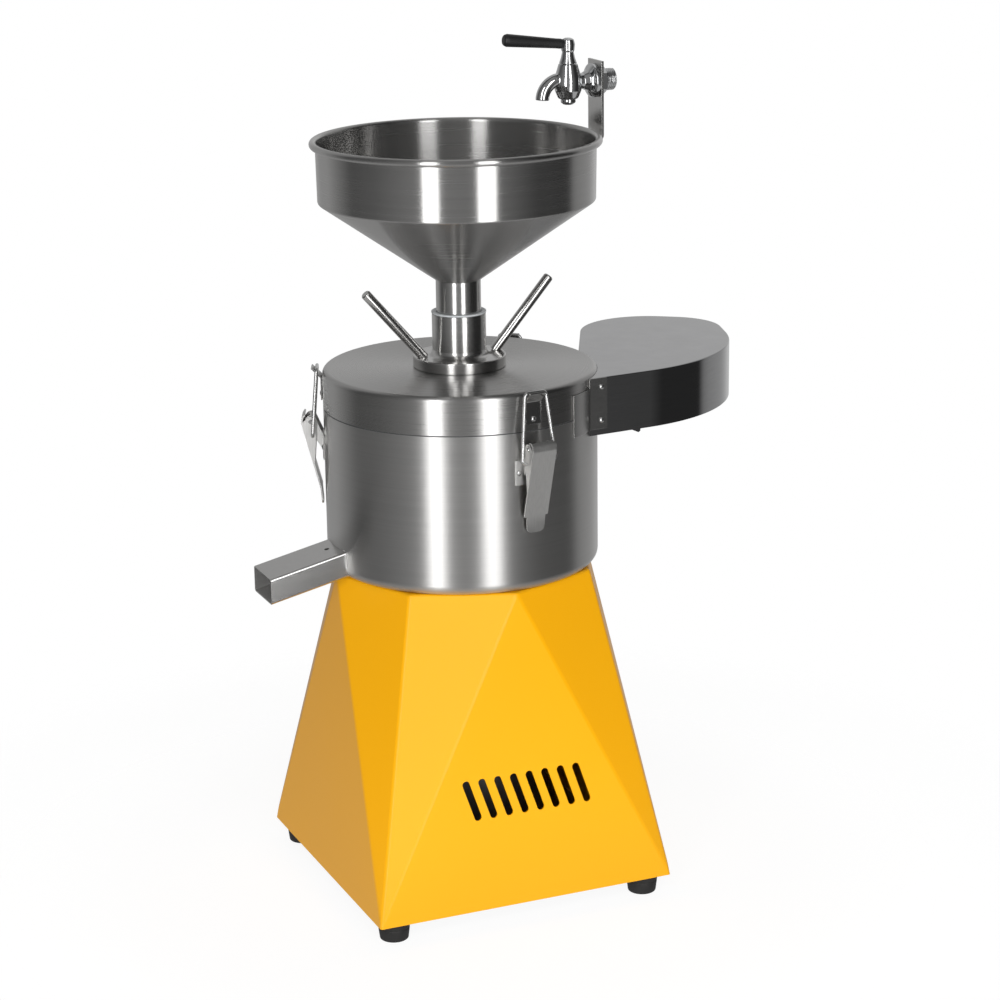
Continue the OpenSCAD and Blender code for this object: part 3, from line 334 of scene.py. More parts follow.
def fold_from_square(at):
    """The hull of a square below and an octagon above, with its four sides drawn on below and open there."""
    flat = at["Shape"]
    spread = (at["Side"] * 0.5 - at["Octagon radius"]) / at["Height"]
    squares = []
    for below in (0.0, 1.0):
        side = at["Side"] + at["Skirt"] * spread * (2.0 * below)
        square = flat.node("GeometryNodeMeshCircle", {}, {"Vertices": 4, "Radius": side * math.sqrt(0.5)})
        squares.append(flat.node("GeometryNodeTransform", {}, {
            "Geometry": square, "Rotation": (0, 0, math.pi / 4),
            "Translation": flat.triple(Z=at["Foot height"] - at["Skirt"] * below)}))
    octagon = flat.node("GeometryNodeMeshCircle", {}, {"Vertices": 8, "Radius": at["Octagon radius"]})
    octagon = flat.node("GeometryNodeTransform", {}, {
        "Geometry": octagon, "Translation": flat.triple(Z=at["Foot height"] + at["Height"])})
    both = flat.node("GeometryNodeJoinGeometry", {}, {"Geometry": [*squares, octagon]})
    hull = flat.node("GeometryNodeConvexHull", {}, {"Geometry": both})
    up = flat.node("ShaderNodeSeparateXYZ", {}, {"Vector": flat.node("GeometryNodeInputNormal")}, out=2)
    below = flat.node("FunctionNodeCompare", {"data_type": "FLOAT", "operation": "LESS_THAN"}, {0: up, 1: -0.9})
    return flat.node("GeometryNodeDeleteGeometry", {"domain": "FACE"}, {"Geometry": hull, "Selection": below})


def cut_vents(at):
    """A row of slanted slots through the front face, and one through the back."""
    wall = at["Shape"]
    across = wall.node("GeometryNodeCurvePrimitiveQuadrilateral", {}, {
        "Width": at["Slot width"], "Height": at["Slot length"]})
    rounded = wall.node("GeometryNodeFilletCurve", {"mode": "POLY"}, {
        "Curve": across, "Count": 7, "Radius": at["Slot width"] * 0.499})
    deep = wall.node("GeometryNodeCurvePrimitiveLine", {}, {"Start": (0, 0, -0.006), "End": (0, 0, 0.006)})
    slot = wall.node("GeometryNodeCurveToMesh", {}, {
        "Curve": deep, "Profile Curve": rounded, "Fill Caps": True})
    first = at["Shift"] - (at["Slots"] - 1.0) * at["Pitch"] * 0.5
    row = wall.node("GeometryNodeMeshLine", {}, {
        "Count": at["Slots"], "Start Location": wall.triple(X=first, Y=at["Rise"]),
        "Offset": wall.triple(X=at["Pitch"])})
    slots = wall.node("GeometryNodeInstanceOnPoints", {}, {
        "Points": row, "Instance": slot, "Rotation": wall.triple(Z=at["Slant"])})
    slots = wall.node("GeometryNodeRealizeInstances", {}, {"Geometry": slots})
    half = BASE_SIDE / 2 * MM
    front = wall.node("GeometryNodeTransform", {}, {
        "Geometry": slots, "Translation": (0, -half, FOOT_H * MM), "Rotation": (math.pi / 2 - LEAN, 0, 0)})
    rear = wall.node("GeometryNodeTransform", {}, {"Geometry": front, "Rotation": (0, 0, math.pi)})
    return wall.node("GeometryNodeMeshBoolean", {"operation": "DIFFERENCE"}, {
        "Mesh 1": wall, "Mesh 2": [front, rear]})


def shift(x, y, z):
    """A move in mm."""
    return Matrix.Translation((x * MM, y * MM, z * MM))


def turned(axis, degrees):
    """A turn about an axis."""
    return Matrix.Rotation(math.radians(degrees), 4, axis)


def on_base(turn):
    """A place on one face of the base: x along the face, y up the slope, z outwards."""
    return turned("Z", turn) @ shift(0, -BASE_SIDE / 2, FOOT_H) @ Matrix.Rotation(math.pi / 2 - LEAN, 4, "X")


def slab(outline, z0, z1):
    """A closed outline in mm, raised between two heights."""
    shape = bmesh.new()
    low = [shape.verts.new((x * MM, y * MM, z0 * MM)) for x, y in outline]
    high = [shape.verts.new((x * MM, y * MM, z1 * MM)) for x, y in outline]
    shape.faces.new(low[::-1])
    shape.faces.new(high)
    for i in range(len(low)):
        j = (i + 1) % len(low)
        shape.faces.new((low[i], low[j], high[j], high[i]))
    bmesh.ops.recalc_face_normals(shape, faces=shape.faces)
    return shape


def moved(shape, *steps):
    """A shape after several moves, the last one made first."""
    for step in reversed(steps):
        bmesh.ops.transform(shape, matrix=step, verts=shape.verts)
    return shape


def gather(*shapes):
    """Several shapes in one."""
    first = shapes[0]
    for other in shapes[1:]:
        mesh = bpy.data.meshes.new("part")
        other.to_mesh(mesh)
        other.free()
        first.from_mesh(mesh)
        bpy.data.meshes.remove(mesh)
    return first


def box_outline(w, h, x=0.0, y=0.0):
    return [(x - w / 2, y - h / 2), (x + w / 2, y - h / 2), (x + w / 2, y + h / 2), (x - w / 2, y + h / 2)]


def arc(cx, cz, r, a0, a1, steps=10):
    """Points of an arc in mm, its angles in degrees."""
    turns = [math.radians(a0 + (a1 - a0) * k / steps) for k in range(steps + 1)]
    return [(cx + r * math.cos(a), cz + r * math.sin(a)) for a in turns]


def circle_outline(r, x=0.0, y=0.0, steps=32):
    return arc(x, y, r, 0, 360, steps)[:-1]


def cut_away(piece, shape, operation="DIFFERENCE"):
    """Cuts a shape out of a piece, or keeps only what both share, or joins the two."""
    mesh = bpy.data.meshes.new("tool")
    shape.to_mesh(mesh)
    shape.free()
    tool = stand("tool", mesh)
    step = piece.modifiers.new("cut", "BOOLEAN")
    step.operation = operation
    step.solver = "EXACT"
    step.object = tool
    settle(piece)
    bpy.data.objects.remove(tool)
    bpy.data.meshes.remove(mesh)


def thicken(piece, sheet):
    """Gives an open skin the thickness of its sheet, inwards."""
    step = piece.modifiers.new("sheet", "SOLIDIFY")
    step.thickness = sheet * MM
    step.offset = -1.0
    step.use_even_offset = True
    settle(piece)


def firm(piece, sharp=30):
    """Keeps the flats of a finished piece flat between its rounded edges."""
    crease(piece, sharp)
    step = piece.modifiers.new("flats", "WEIGHTED_NORMAL")
    step.weight = FLAT_WEIGHT
    step.keep_sharp = True
    settle(piece)


housing = shape_piece("base_sheet_housing", bmesh.new(), yellow)
grow(housing, "fold from square to octagon", {
    "Side": BASE_SIDE * MM, "Foot height": FOOT_H * MM, "Height": BASE_H * MM,
    "Octagon radius": OCTAGON_R * MM, "Skirt": 0.03}, yellow, fold_from_square)
round_edges(housing, FOLD_R, 6, 5)
thicken(housing, BASE_SHEET)
cut_away(housing, slab(box_outline(400, 400), -60, FOOT_H))
grow(housing, "vent slots", {
    "Slots": 8, "Pitch": 0.016, "Slot width": 0.0073, "Slot length": 0.042,
    "Slant": math.radians(18.0), "Rise": 0.109, "Shift": 0.0025}, yellow, cut_vents)
settle(housing)
cut_away(housing, gather(
    moved(slab(box_outline(22, 28, 0, SWITCH_UP), -6, 6), on_base(90)),
    moved(slab(circle_outline(10, *GLAND_AT), -6, 6), on_base(180)),
    slab(circle_outline(62, steps=64), TOP_Z - 6, TOP_Z + 6)))
round_edges(housing, 0.35, 2, 50)
firm(settle(housing))
seat(housing, "frame", "yellow_paint", "base_housing", "base_top")


# Motor: an induction motor hung below the top of the base by its flange. Cast end bells and shell, a stack of
# laminations with varnished windings, ball bearings, a shaft with its rotor, and a plastic fan in a sheet cowl.

alloy, feed, place = open_finish("cast_alloy")
pits = noise(place, 900.0, 3.0)
stain = noise(place, 30.0, 4.0)
close_finish(feed, {
    "Base Color": blend(feed, stain, (0.40, 0.41, 0.42, 1), (0.56, 0.57, 0.58, 1)),
    "Metallic": 1.0,
    "Roughness": 0.42 + 0.2 * pits,
    "Normal": relief(pits, 0.0002, 0.6)})
coat(alloy, "upper_end_bell", "motor_shell", "lower_end_bell")

mill, feed, place = open_finish("mill_steel")
scale = noise(place, 60.0, 5.0)
rolled = noise(stretch(place, 1, 12, 12), 140.0, 3.0)
close_finish(feed, {
    "Base Color": blend(feed, scale, (0.20, 0.20, 0.21, 1), (0.38, 0.38, 0.39, 1)),
    "Metallic": 1.0,
    "Roughness": 0.36 + 0.25 * rolled,
    "Normal": relief(rolled, 0.00005, 0.4)})
coat(mill, "motor_plate", "fan_cowl", "motor_shaft", "drive_hub", "stone_seat")

plates, feed, place = open_finish("stacked_laminations")
height = feed.node("ShaderNodeSeparateXYZ", {}, {"Vector": place}, out=2)
stack = feed.maths("PINGPONG", height, 0.0005) * 2000.0
close_finish(feed, {
    "Base Color": blend(feed, stack, (0.10, 0.10, 0.11, 1), (0.34, 0.34, 0.36, 1)),
    "Metallic": 1.0,
    "Roughness": 0.35 + 0.2 * noise(place, 300.0),
    "Normal": relief(stack, 0.0002, 0.6)})
coat(plates, "stator_core", "rotor_core")

varnished, feed, place = open_finish("varnished_windings")
strand = feed.node("ShaderNodeTexWave", {"wave_type": "RINGS", "rings_direction": "Z"}, {
    "Vector": place, "Scale": 190.0, "Distortion": 3.0, "Detail": 2.0})
close_finish(feed, {
    "Base Color": blend(feed, strand, (0.16, 0.05, 0.012, 1), (0.42, 0.16, 0.045, 1)),
    "Roughness": 0.22 + 0.2 * noise(place, 120.0),
    "Coat Weight": 0.6,
    "Normal": relief(strand, 0.0006, 0.7)})
coat(varnished, "stator_windings")

ground, feed, place = open_finish("ground_bearing_steel")
hone = noise(stretch(place, 1, 1, 30), 90.0, 3.0)
close_finish(feed, {
    "Base Color": blend(feed, hone, (0.55, 0.56, 0.57, 1), (0.72, 0.73, 0.74, 1)),
    "Metallic": 1.0,
    "Roughness": 0.16 + 0.12 * hone})
coat(ground, "bearings")


def moulded(name, dark, bright, cloud, rough, spread, grain, depth):
    """Plastic or rubber from a mould: a soft cloud in tone and gloss, and a fine grain."""
    finish, feed, place = open_finish(name)
    bloom = noise(place, cloud, 3.0)
    close_finish(feed, {
        "Base Color": blend(feed, bloom, dark, bright),
        "Roughness": rough + spread * bloom,
        "Normal": relief(noise(place, grain, 2.0), depth, 0.4)})
    return finish


black_plastic = moulded("black_moulded_plastic", (0.008, 0.008, 0.008, 1), (0.017, 0.017, 0.018, 1),
                        cloud=70.0, rough=0.3, spread=0.16, grain=2600.0, depth=0.00008)
coat(black_plastic, "cooling_fan")
pale_plastic = moulded("pale_moulded_plastic", (0.66, 0.65, 0.60, 1), (0.76, 0.75, 0.71, 1),
                       cloud=40.0, rough=0.42, spread=0.14, grain=1800.0, depth=0.00006)
coat(pale_plastic, "capacitor", "terminal_block")


# Rocker switch: a black plastic snap-in switch in the right side of the base, with a dished rocker on two pins
# inside a raised frame.

bezel = gather(
    slab(ease(box_outline(27, 34), 2.0), 0.02, 3.0),
    slab(box_outline(21.4, 27.4), -24, 0.9))
at_switch = on_base(90), shift(0, SWITCH_UP, 0)
switch = shape_piece("switch_frame", moved(bezel, *at_switch), black_plastic, edge=0.6)
cut_away(switch, moved(slab(ease(box_outline(17.2, 23), 1.0), -8, 6), *at_switch))
crease(switch, 30)
seat(switch, "frame", "black_plastic", "switch_body")

dish = [(-10, -1.5), (10, -1.5)] + [
    (x, 2.8 + 1.7 * (x / 10) ** 2) for x in (10 - 20 * k / 12 for k in range(13))]
SIDEWAYS = Matrix(((0, 0, 1, 0), (1, 0, 0, 0), (0, 1, 0, 0), (0, 0, 0, 1)))
rocker_shape = gather(
    moved(slab(dish, -8, 8), SIDEWAYS),
    moved(slab(circle_outline(1.5, steps=24), -9.6, 9.6), SIDEWAYS))
rocker = shape_piece("switch_rocker_cap", moved(
    rocker_shape, on_base(90), shift(0, SWITCH_UP, 0.5), turned("X", -10)), black_plastic, edge=0.5)
seat(rocker, "rocker", "black_plastic", "switch_rocker")


# Cable gland: a black nylon gland through the back of the base, with a six-sided body outside, a lock nut
# inside and a domed cap that squeezes the seal.

def hexagon(r):
    return arc(0, 0, r, 0, 360, 6)[:-1]


at_gland = on_base(180), shift(*GLAND_AT, 0)
cap_ribs = [arc(0, 0, 11.1 if k % 2 else 10.5, 11.25 * k, 11.25 * k, 1)[0] for k in range(32)]
gland = shape_piece("cable_gland_body", moved(gather(
    slab(hexagon(12.9), 0.02, 6), slab(cap_ribs, 5.5, 13),
    spin([(0, 12.5), (10.4, 12.5), (10.4, 13.4), (9.6, 15.6), (7.6, 18.2), (6.6, 19), (0, 19)], 48),
    spin([(0, -14), (9.4, -14), (9.9, -13.4), (9.9, 1), (0, 1)], 48), slab(hexagon(12.9), -7.6, -1.6)),
    *at_gland), black_plastic, edge=0.5, segments=2)
cut_away(gland, moved(slab(circle_outline(4.2), -16, 22), *at_gland))
crease(gland, 30)
seat(gland, "frame", "black_plastic", "cable_gland")


# Drum: a bowl spun from stainless sheet, with its lower edge rolled round and a chimney that keeps the milk off
# the shaft. It is brushed on the lathe, so light stretches into upright bands, and it is bolted to the base.

DRUM_R, RIM_Z, DRUM_SHEET, EDGE_R = 130.0, 473.0, 1.5, 10.0
DRUM_IN = DRUM_R - DRUM_SHEET
EDGE = (DRUM_R - EDGE_R, TOP_Z + EDGE_R)


def split(place):
    """The three numbers of a place."""
    parts = place.node("ShaderNodeSeparateXYZ", {}, {"Vector": place}).socket.node
    return [Feed(place.tree, socket) for socket in parts.outputs]


def steel_tone(feed, share, dark, bright):
    """A grey between two levels, with the slight warmth of stainless steel."""
    return blend(feed, share, (dark, dark * 0.99, dark * 0.97, 1), (bright, bright * 0.99, bright * 0.975, 1))


def spun_steel(name, dark, bright, rough, spread, drawn):
    """Stainless steel brushed round its axis: fine rings in tone and gloss, and light drawn out across them."""
    finish, feed, place = open_finish(name)
    x, y, z = split(place)
    across = z + feed.maths("SQRT", x * x + y * y)
    fine, broad = [noise(feed.triple(X=x * long, Y=y * long, Z=across * close), 1.0, 3.0, 0.6)
                   for long, close in ((7.0, 2300.0), (3.0, 210.0))]
    haze = noise(place, 11.0, 3.0)
    lines = 0.6 * fine + 0.4 * broad
    close_finish(feed, {
        "Base Color": steel_tone(feed, lines, dark, bright),
        "Metallic": 1.0,
        "Roughness": rough + spread * lines + 0.05 * haze,
        "Anisotropic": drawn,
        "Anisotropic Rotation": 0.25,
        "Normal": relief(fine, 0.00002, 0.25)})
    return finish


brushed_drum = spun_steel("brushed_drum_steel", dark=0.50, bright=0.66, rough=0.27, spread=0.16, drawn=0.88)
drum = shape_piece("drum_shell", spin(
    [(21, TOP_Z)] + arc(*EDGE, EDGE_R, -90, 0) + [(DRUM_R, RIM_Z), (DRUM_IN, RIM_Z)]
    + arc(*EDGE, EDGE_R - DRUM_SHEET, 0, -90) + [(24, TOP_Z + DRUM_SHEET), (24, 362), (21, 362)], 256),
    brushed_drum)
OUTLET = shift(-DRUM_IN, 0, 323.2) @ turned("Z", 180) @ turned("Y", 12.5)
OUTLET_W, OUTLET_H = 50.0, 24.5
cut_away(drum, gather(
    moved(slab(box_outline(OUTLET_W + 0.2, OUTLET_H + 0.2, 0, OUTLET_H / 2), -11, 16), OUTLET, SIDEWAYS),
    *[moved(slab(circle_outline(4.1, 86), 318, 326), turned("Z", 22.5 + 90 * k)) for k in range(4)]))
firm(drum)
seat(drum, "frame", "brushed_drum", "drum_bowl")

seal = moulded("grey_seal_rubber", (0.035, 0.036, 0.037, 1), (0.058, 0.060, 0.061, 1),
               cloud=55.0, rough=0.5, spread=0.15, grain=1500.0, depth=0.00008)
coat(seal, "shaft_seal", "lid_gasket")


# Milk outlet: a flat stainless tube that slopes down from the drum's wall, cut upright at its mouth, with a
# vent hole in its top. It is welded on all round, and the bead is left unground.

def flat_steel(name, dark, bright, rough, dull=None):
    """Stainless sheet with the straight grain it was rolled with, and more matt where a rule says so."""
    finish, feed, place = open_finish(name)
    grain = noise(stretch(place, 5, 900, 900), 1.0, 3.0, 0.6)
    haze = noise(place, 9.0, 3.0)
    close_finish(feed, {
        "Base Color": steel_tone(feed, grain, dark, bright),
        "Metallic": 1.0,
        "Roughness": rough + 0.07 * grain + 0.05 * haze + (dull(feed, place) if dull else 0.0),
        "Normal": relief(grain, 0.00001, 0.2)})
    return finish


def along(place, way):
    """How far a place lies along a direction."""
    return place.node("ShaderNodeVectorMath", {"operation": "DOT_PRODUCT"}, {
        0: place, 1: tuple(way)}, out="Value")


def inside_outlet(feed, place):
    """More roughness on the unpolished inside of the tube."""
    half_wall, more = 0.6, 0.4
    upright = OUTLET.col[2].to_3d()
    floor, height = OUTLET.translation.dot(upright), along(place, upright)
    low = feed.maths("GREATER_THAN", height, floor + half_wall * MM)
    high = feed.maths("LESS_THAN", height, floor + (OUTLET_H - half_wall) * MM)
    wide = feed.maths("LESS_THAN", feed.maths("ABSOLUTE", split(place)[1]), (OUTLET_W / 2 - half_wall) * MM)
    return more * (low * high * wide)


sheet_steel = flat_steel("brushed_sheet_steel", dark=0.50, bright=0.64, rough=0.13)
outlet_steel = flat_steel("outlet_sheet_steel", dark=0.50, bright=0.64, rough=0.13, dull=inside_outlet)
outlet_outline = ease(box_outline(OUTLET_W, OUTLET_H, 0, OUTLET_H / 2), 2.4, 5)
outlet_bore = ease(box_outline(OUTLET_W - 2.4, OUTLET_H - 2.4, 0, OUTLET_H / 2), 1.3, 5)
outlet = shape_piece("outlet_tube", moved(slab(outlet_outline, -10, 92), OUTLET, SIDEWAYS), outlet_steel)
cut_away(outlet, moved(slab(outlet_bore, -14, 100), OUTLET, SIDEWAYS))
cut_away(outlet, spin([(0, TOP_Z + DRUM_SHEET)] + arc(*EDGE, EDGE_R - DRUM_SHEET, -90, 0)
                      + [(DRUM_IN, RIM_Z), (0, RIM_Z)], 256))
cut_away(outlet, slab(box_outline(60, 120, -233, 0), 250, 380))
cut_away(outlet, moved(slab(circle_outline(2.5, 5, 0, 24), 14, 30), OUTLET))
soften(outlet, 0.25, 2, 50)
seat(outlet, "frame", "brushed_sheet", "milk_outlet")


def drum_skin(z):
    """The drum's outer radius at a height."""
    low = max(0.0, EDGE[1] - z)
    return EDGE[0] + math.sqrt(max(0.0, EDGE_R ** 2 - low * low))


def weld_spot(across, up):
    """Where a line along the outlet comes out of the drum."""
    near, far = -7.0, 16.0
    for _ in range(30):
        middle = (near + far) / 2
        spot = OUTLET @ Vector((middle * MM, across * MM, up * MM)) / MM
        if math.hypot(spot.x, spot.y) < drum_skin(spot.z):
            near = middle
        else:
            far = middle
    return tuple(OUTLET @ Vector((near * MM, across * MM, up * MM)) / MM)


def path_piece(name, spots, finish, closed=False):
    """An object that holds only a line through places in mm."""
    mesh = bpy.data.meshes.new(name)
    ends = [(i, i + 1) for i in range(len(spots) - 1)] + ([(len(spots) - 1, 0)] if closed else [])
    mesh.from_pydata([[c * MM for c in spot] for spot in spots], ends, [])
    mesh.materials.append(finish)
    return stand(name, mesh)


def lay_bead(at):
    """A weld bead along a line, swelling a little from spot to spot."""
    path = at["Shape"].node("GeometryNodeMeshToCurve", {}, {"Mesh": at["Shape"]})
    path = path.node("GeometryNodeResampleCurve", {}, {"Curve": path, "Count": 300})
    swell = noise(path.node("GeometryNodeInputPosition"), at["Ripple"], 1.0)
    path = path.node("GeometryNodeSetCurveRadius", {}, {"Curve": path, "Radius": 0.5 + swell})
    ring = path.node("GeometryNodeCurvePrimitiveCircle", {}, {"Resolution": 10, "Radius": at["Bead radius"]})
    return path.node("GeometryNodeCurveToMesh", {}, {"Curve": path, "Profile Curve": ring, "Scale": 1.0})


weld = path_piece("outlet_weld", [weld_spot(*spot) for spot in outlet_outline], sheet_steel, True)
grow(weld, "weld bead", {"Bead radius": 0.0009, "Ripple": 520.0}, sheet_steel, lay_bead)
seat(settle(weld), "frame", "plain_steel")


# Latch plates: three folded steel plates riveted to the drum, each with two ears for the pin of its lever.
# They stand round the rim, one in front, one at the left and one at the back.

LATCHES = {"front": -82, "back": 46, "left": 158}
PIVOT_OUT, PIVOT_Z, LATCH_SHEET = 12.0, 460.0, 1.5
UPRIGHT = turned("X", 90)

latch_steel, feed, place = open_finish("pressed_latch_steel")
drawn = noise(stretch(place, 700, 700, 6), 1.0, 3.0, 0.6)
worn = noise(place, 45.0, 4.0)
close_finish(feed, {
    "Base Color": blend(feed, drawn, (0.58, 0.575, 0.565, 1), (0.72, 0.715, 0.70, 1)),
    "Metallic": 1.0,
    "Roughness": 0.26 + 0.1 * drawn + 0.12 * worn,
    "Normal": relief(drawn, 0.000015, 0.25)})

bright_wire, feed, place = open_finish("bright_drawn_wire")
draw_lines = noise(place, 700.0, 3.0)
close_finish(feed, {
    "Base Color": blend(feed, draw_lines, (0.62, 0.62, 0.615, 1), (0.76, 0.76, 0.755, 1)),
    "Metallic": 1.0,
    "Roughness": 0.12 + 0.12 * draw_lines})


def at_latch(angle):
    """The frame of a latch: x out from the drum, y across, z up."""
    return turned("Z", angle) @ shift(DRUM_R, 0, 0)


def hull_outline(spots, step=4):
    """The outline of a band round circles, each a place and a radius in mm."""
    ring = set()
    for x, y, r in spots:
        for k in range(0, 360, step if r else 360):
            ring.add((round(x + r * math.cos(math.radians(k)), 4), round(y + r * math.sin(math.radians(k)), 4)))
    made = []
    for way in (sorted(ring), sorted(ring, reverse=True)):
        half = []
        for p in way:
            while len(half) > 1 and ((half[-1][0] - half[-2][0]) * (p[1] - half[-2][1])
                                     - (half[-1][1] - half[-2][1]) * (p[0] - half[-2][0])) <= 1e-7:
                half.pop()
            half.append(p)
        made += half[:-1]
    return made


def band(r0, r1, a0, a1, steps=24):
    """A strip bent round Z, as an outline."""
    return arc(0, 0, r1, a0, a1, steps) + arc(0, 0, r0, a1, a0, steps)


def latch_plate_shape():
    half = math.degrees(math.asin(19 / DRUM_R))
    strip = moved(slab(band(130.05, DRUM_R + LATCH_SHEET, -half, half), 424, 448), shift(-DRUM_R, 0, 0))
    ear = hull_outline([(PIVOT_OUT, PIVOT_Z, 5.5), (0.8, 432, 0), (0.8, 448, 0)], 10)
    return gather(strip, *[moved(slab(ear, y, y + LATCH_SHEET), UPRIGHT) for y in (-10, 8.5)])


plates = shape_piece("latch_plate_set", gather(
    *[moved(latch_plate_shape(), at_latch(angle)) for angle in LATCHES.values()]),
    latch_steel, edge=0.4, segments=2)
seat(plates, "frame", "latch_steel", "latch_plates")

pin_shape = [(0, -13.3), (1.5, -13.3), (2, -12.8), (2, 12.8), (1.5, 13.3), (0, 13.3)]
pins = shape_piece("latch_pin_set", gather(*[
    moved(spin(pin_shape, 32), at_latch(angle), shift(PIVOT_OUT, 0, PIVOT_Z), UPRIGHT)
    for angle in LATCHES.values()]), bright_wire)
seat(pins, "frame", "chrome_tap", "latch_pins")


# Rotor and grinder inside the drum: the hub drives a perforated filter basket and the lower stone, which runs
# against the upper stone. A splash ring above the basket keeps the milk below the lid.

stone, feed, place = open_finish("grinding_stone")
grit = feed.node("ShaderNodeTexVoronoi", {}, {"Vector": place, "Scale": 900.0})
body = noise(place, 60.0, 4.0)
close_finish(feed, {
    "Base Color": blend(feed, 0.6 * grit + 0.4 * body, (0.16, 0.15, 0.14, 1), (0.40, 0.38, 0.35, 1)),
    "Roughness": 0.75 + 0.2 * body,
    "Normal": relief(grit, 0.0004, 0.8)})
coat(stone, "lower_stone", "upper_stone")

basket_mesh, feed, place = open_finish("perforated_basket_steel")
x, y, z = split(place)
round_way = feed.maths("PINGPONG", feed.maths("ARCTAN2", y, x) * 0.09, 0.0016) - 0.0008
up_way = feed.maths("PINGPONG", z, 0.0016) - 0.0008
# The holes are not cut but painted. Near black in each hole is painted shade, for the dark seen through an
# opening, with less metal, more roughness and a sunk bump.
hole = feed.maths("LESS_THAN", round_way * round_way + up_way * up_way, 0.00000020)
close_finish(feed, {
    "Base Color": blend(feed, hole, (0.58, 0.575, 0.56, 1), (0.02, 0.02, 0.02, 1)),
    "Metallic": 1.0 - 0.9 * hole,
    "Roughness": 0.3 + 0.15 * noise(place, 120.0) + 0.3 * hole,
    "Normal": relief(1.0 - hole, 0.0004, 0.6)})
coat(basket_mesh, "filter_basket")
coat(sheet_steel, "splash_ring")


# Lid: spun from the same sheet as the drum, with a rounded shoulder and a turned boss in the middle for the
# adjuster. A rubber gasket seals it on the drum's rim, and a window in its side opens into the pulp hood.

brushed_lid = spun_steel("brushed_lid_steel", dark=0.41, bright=0.53, rough=0.20, spread=0.11, drawn=0.80)
LID_TOP, SHOULDER_R = 510.0, 5.0
SHOULDER = (DRUM_R - SHOULDER_R, LID_TOP - SHOULDER_R)


def hood_plan(inset, *mouth):
    """The plan of the hood: a wall rolled to a wide radius, two rounded ends and the two ends of its mouth."""
    rolled = [(x, y, 0) for x, y in arc(142.5, 78.5, 165 - inset, -84.4, 0, 60)]
    ends = [(256.5, 73, 54 - inset), (234, 72, 68 - inset)]
    return hull_outline(rolled + ends + [(*spot, 0) for spot in mouth], 3)


lid = shape_piece("lid_shell", spin(
    [(126.5, 474), (129.9, 474), (130, 474.1)] + arc(*SHOULDER, SHOULDER_R, 0, 90, 10)
    + [(38.05, LID_TOP), (38.05, 489.5), (50, 489.5), (50, 508.5)]
    + arc(*SHOULDER, SHOULDER_R - 1.5, 90, 0, 10) + [(128.5, 476), (126.5, 476)], 256), brushed_lid)
window = shape_piece("lid_window", slab(hood_plan(2.5, (86, -87), (126, 3)), 479, 503.5), brushed_lid)
cut_away(window, slab(box_outline(85, 260, 107.5, 0), 470, 510), "INTERSECT")
window_shape = bmesh.new()
window_shape.from_mesh(window.data)
bpy.data.objects.remove(window)
cut_away(lid, window_shape)
firm(lid)
seat(lid, "frame", "brushed_lid", "lid")


# Pulp hood: a deep folded box of polished stainless sheet on the lid's side, open below, that throws the pulp
# down beside the machine. A bent flange riveted to its front wall holds it against the drum.

polished, feed, place = open_finish("polished_hood_steel")
wave = noise(place, 7.0, 2.0)
scuff = noise(stretch(place, 40, 40, 900), 1.0, 3.0, 0.6)
close_finish(feed, {
    "Base Color": blend(feed, scuff, (0.44, 0.44, 0.445, 1), (0.54, 0.54, 0.545, 1)),
    "Metallic": 1.0,
    "Roughness": 0.05 + 0.05 * scuff + 0.04 * wave,
    "Normal": relief(wave, 0.0006, 0.25)})

HOOD_Z, HOOD_TOP, HOOD_SHEET, HOOD_GAP = 451.0, 506.0, 1.5, 0.3
hood_shape = slab(hood_plan(0, (80, -93.3), (126, 6)), HOOD_Z, HOOD_TOP)
bmesh.ops.delete(hood_shape, geom=[f for f in hood_shape.faces if f.normal.z < -0.9], context="FACES_ONLY")
top_edges = [e for e in hood_shape.edges if min(v.co.z for v in e.verts) > (HOOD_TOP - 1) * MM]
bmesh.ops.bevel(hood_shape, geom=top_edges, offset=1.6 * MM, segments=4, profile=0.5, affect="EDGES")
hood = shape_piece("hood_shell", hood_shape, polished)
thicken(hood, HOOD_SHEET)
cut_away(hood, spin([(0, 440), (DRUM_R + HOOD_GAP, 440)] + arc(*SHOULDER, SHOULDER_R + HOOD_GAP, 0, 90, 10)
                    + [(0, LID_TOP + HOOD_GAP)], 192))
firm(hood)
seat(hood, "frame", "brushed_sheet", "pulp_hood")

HOOD_WALL = shift(80, -93.3, 0) @ turned("Z", 5.59)
flange_leaf = ease([(11.6, 457), (30.9, 457, 2), (30.9, 506, 1), (11.6, 506)], 0.3)
flange = shape_piece("hood_flange_strip", gather(
    slab(band(130.32, 131.5, -59.58, -45.1, 12), 457, 497),
    moved(slab(flange_leaf, 0.15, 1.35), HOOD_WALL, UPRIGHT)),
    flat_steel("satin_flange_steel", dark=0.44, bright=0.54, rough=0.18), edge=0.3, segments=2)
seat(flange, "frame", "brushed_sheet", "hood_flange")
tab_outline = ease([(56.5, 452), (68.5, 452), (68, 448.5, 0.5), (66, 447.6, 0.5)], 0.2)
tab = shape_piece("hood_edge_tab", moved(slab(tab_outline, -1.45, -0.2), HOOD_WALL, UPRIGHT),
                  polished, edge=0.2, segments=2)
seat(tab, "frame", "brushed_sheet")


# Keepers and rivets: hooks of bent strip on the lid that the bails pull on, and the domed rivets that hold
# latch plates, keepers and the hood's flange.

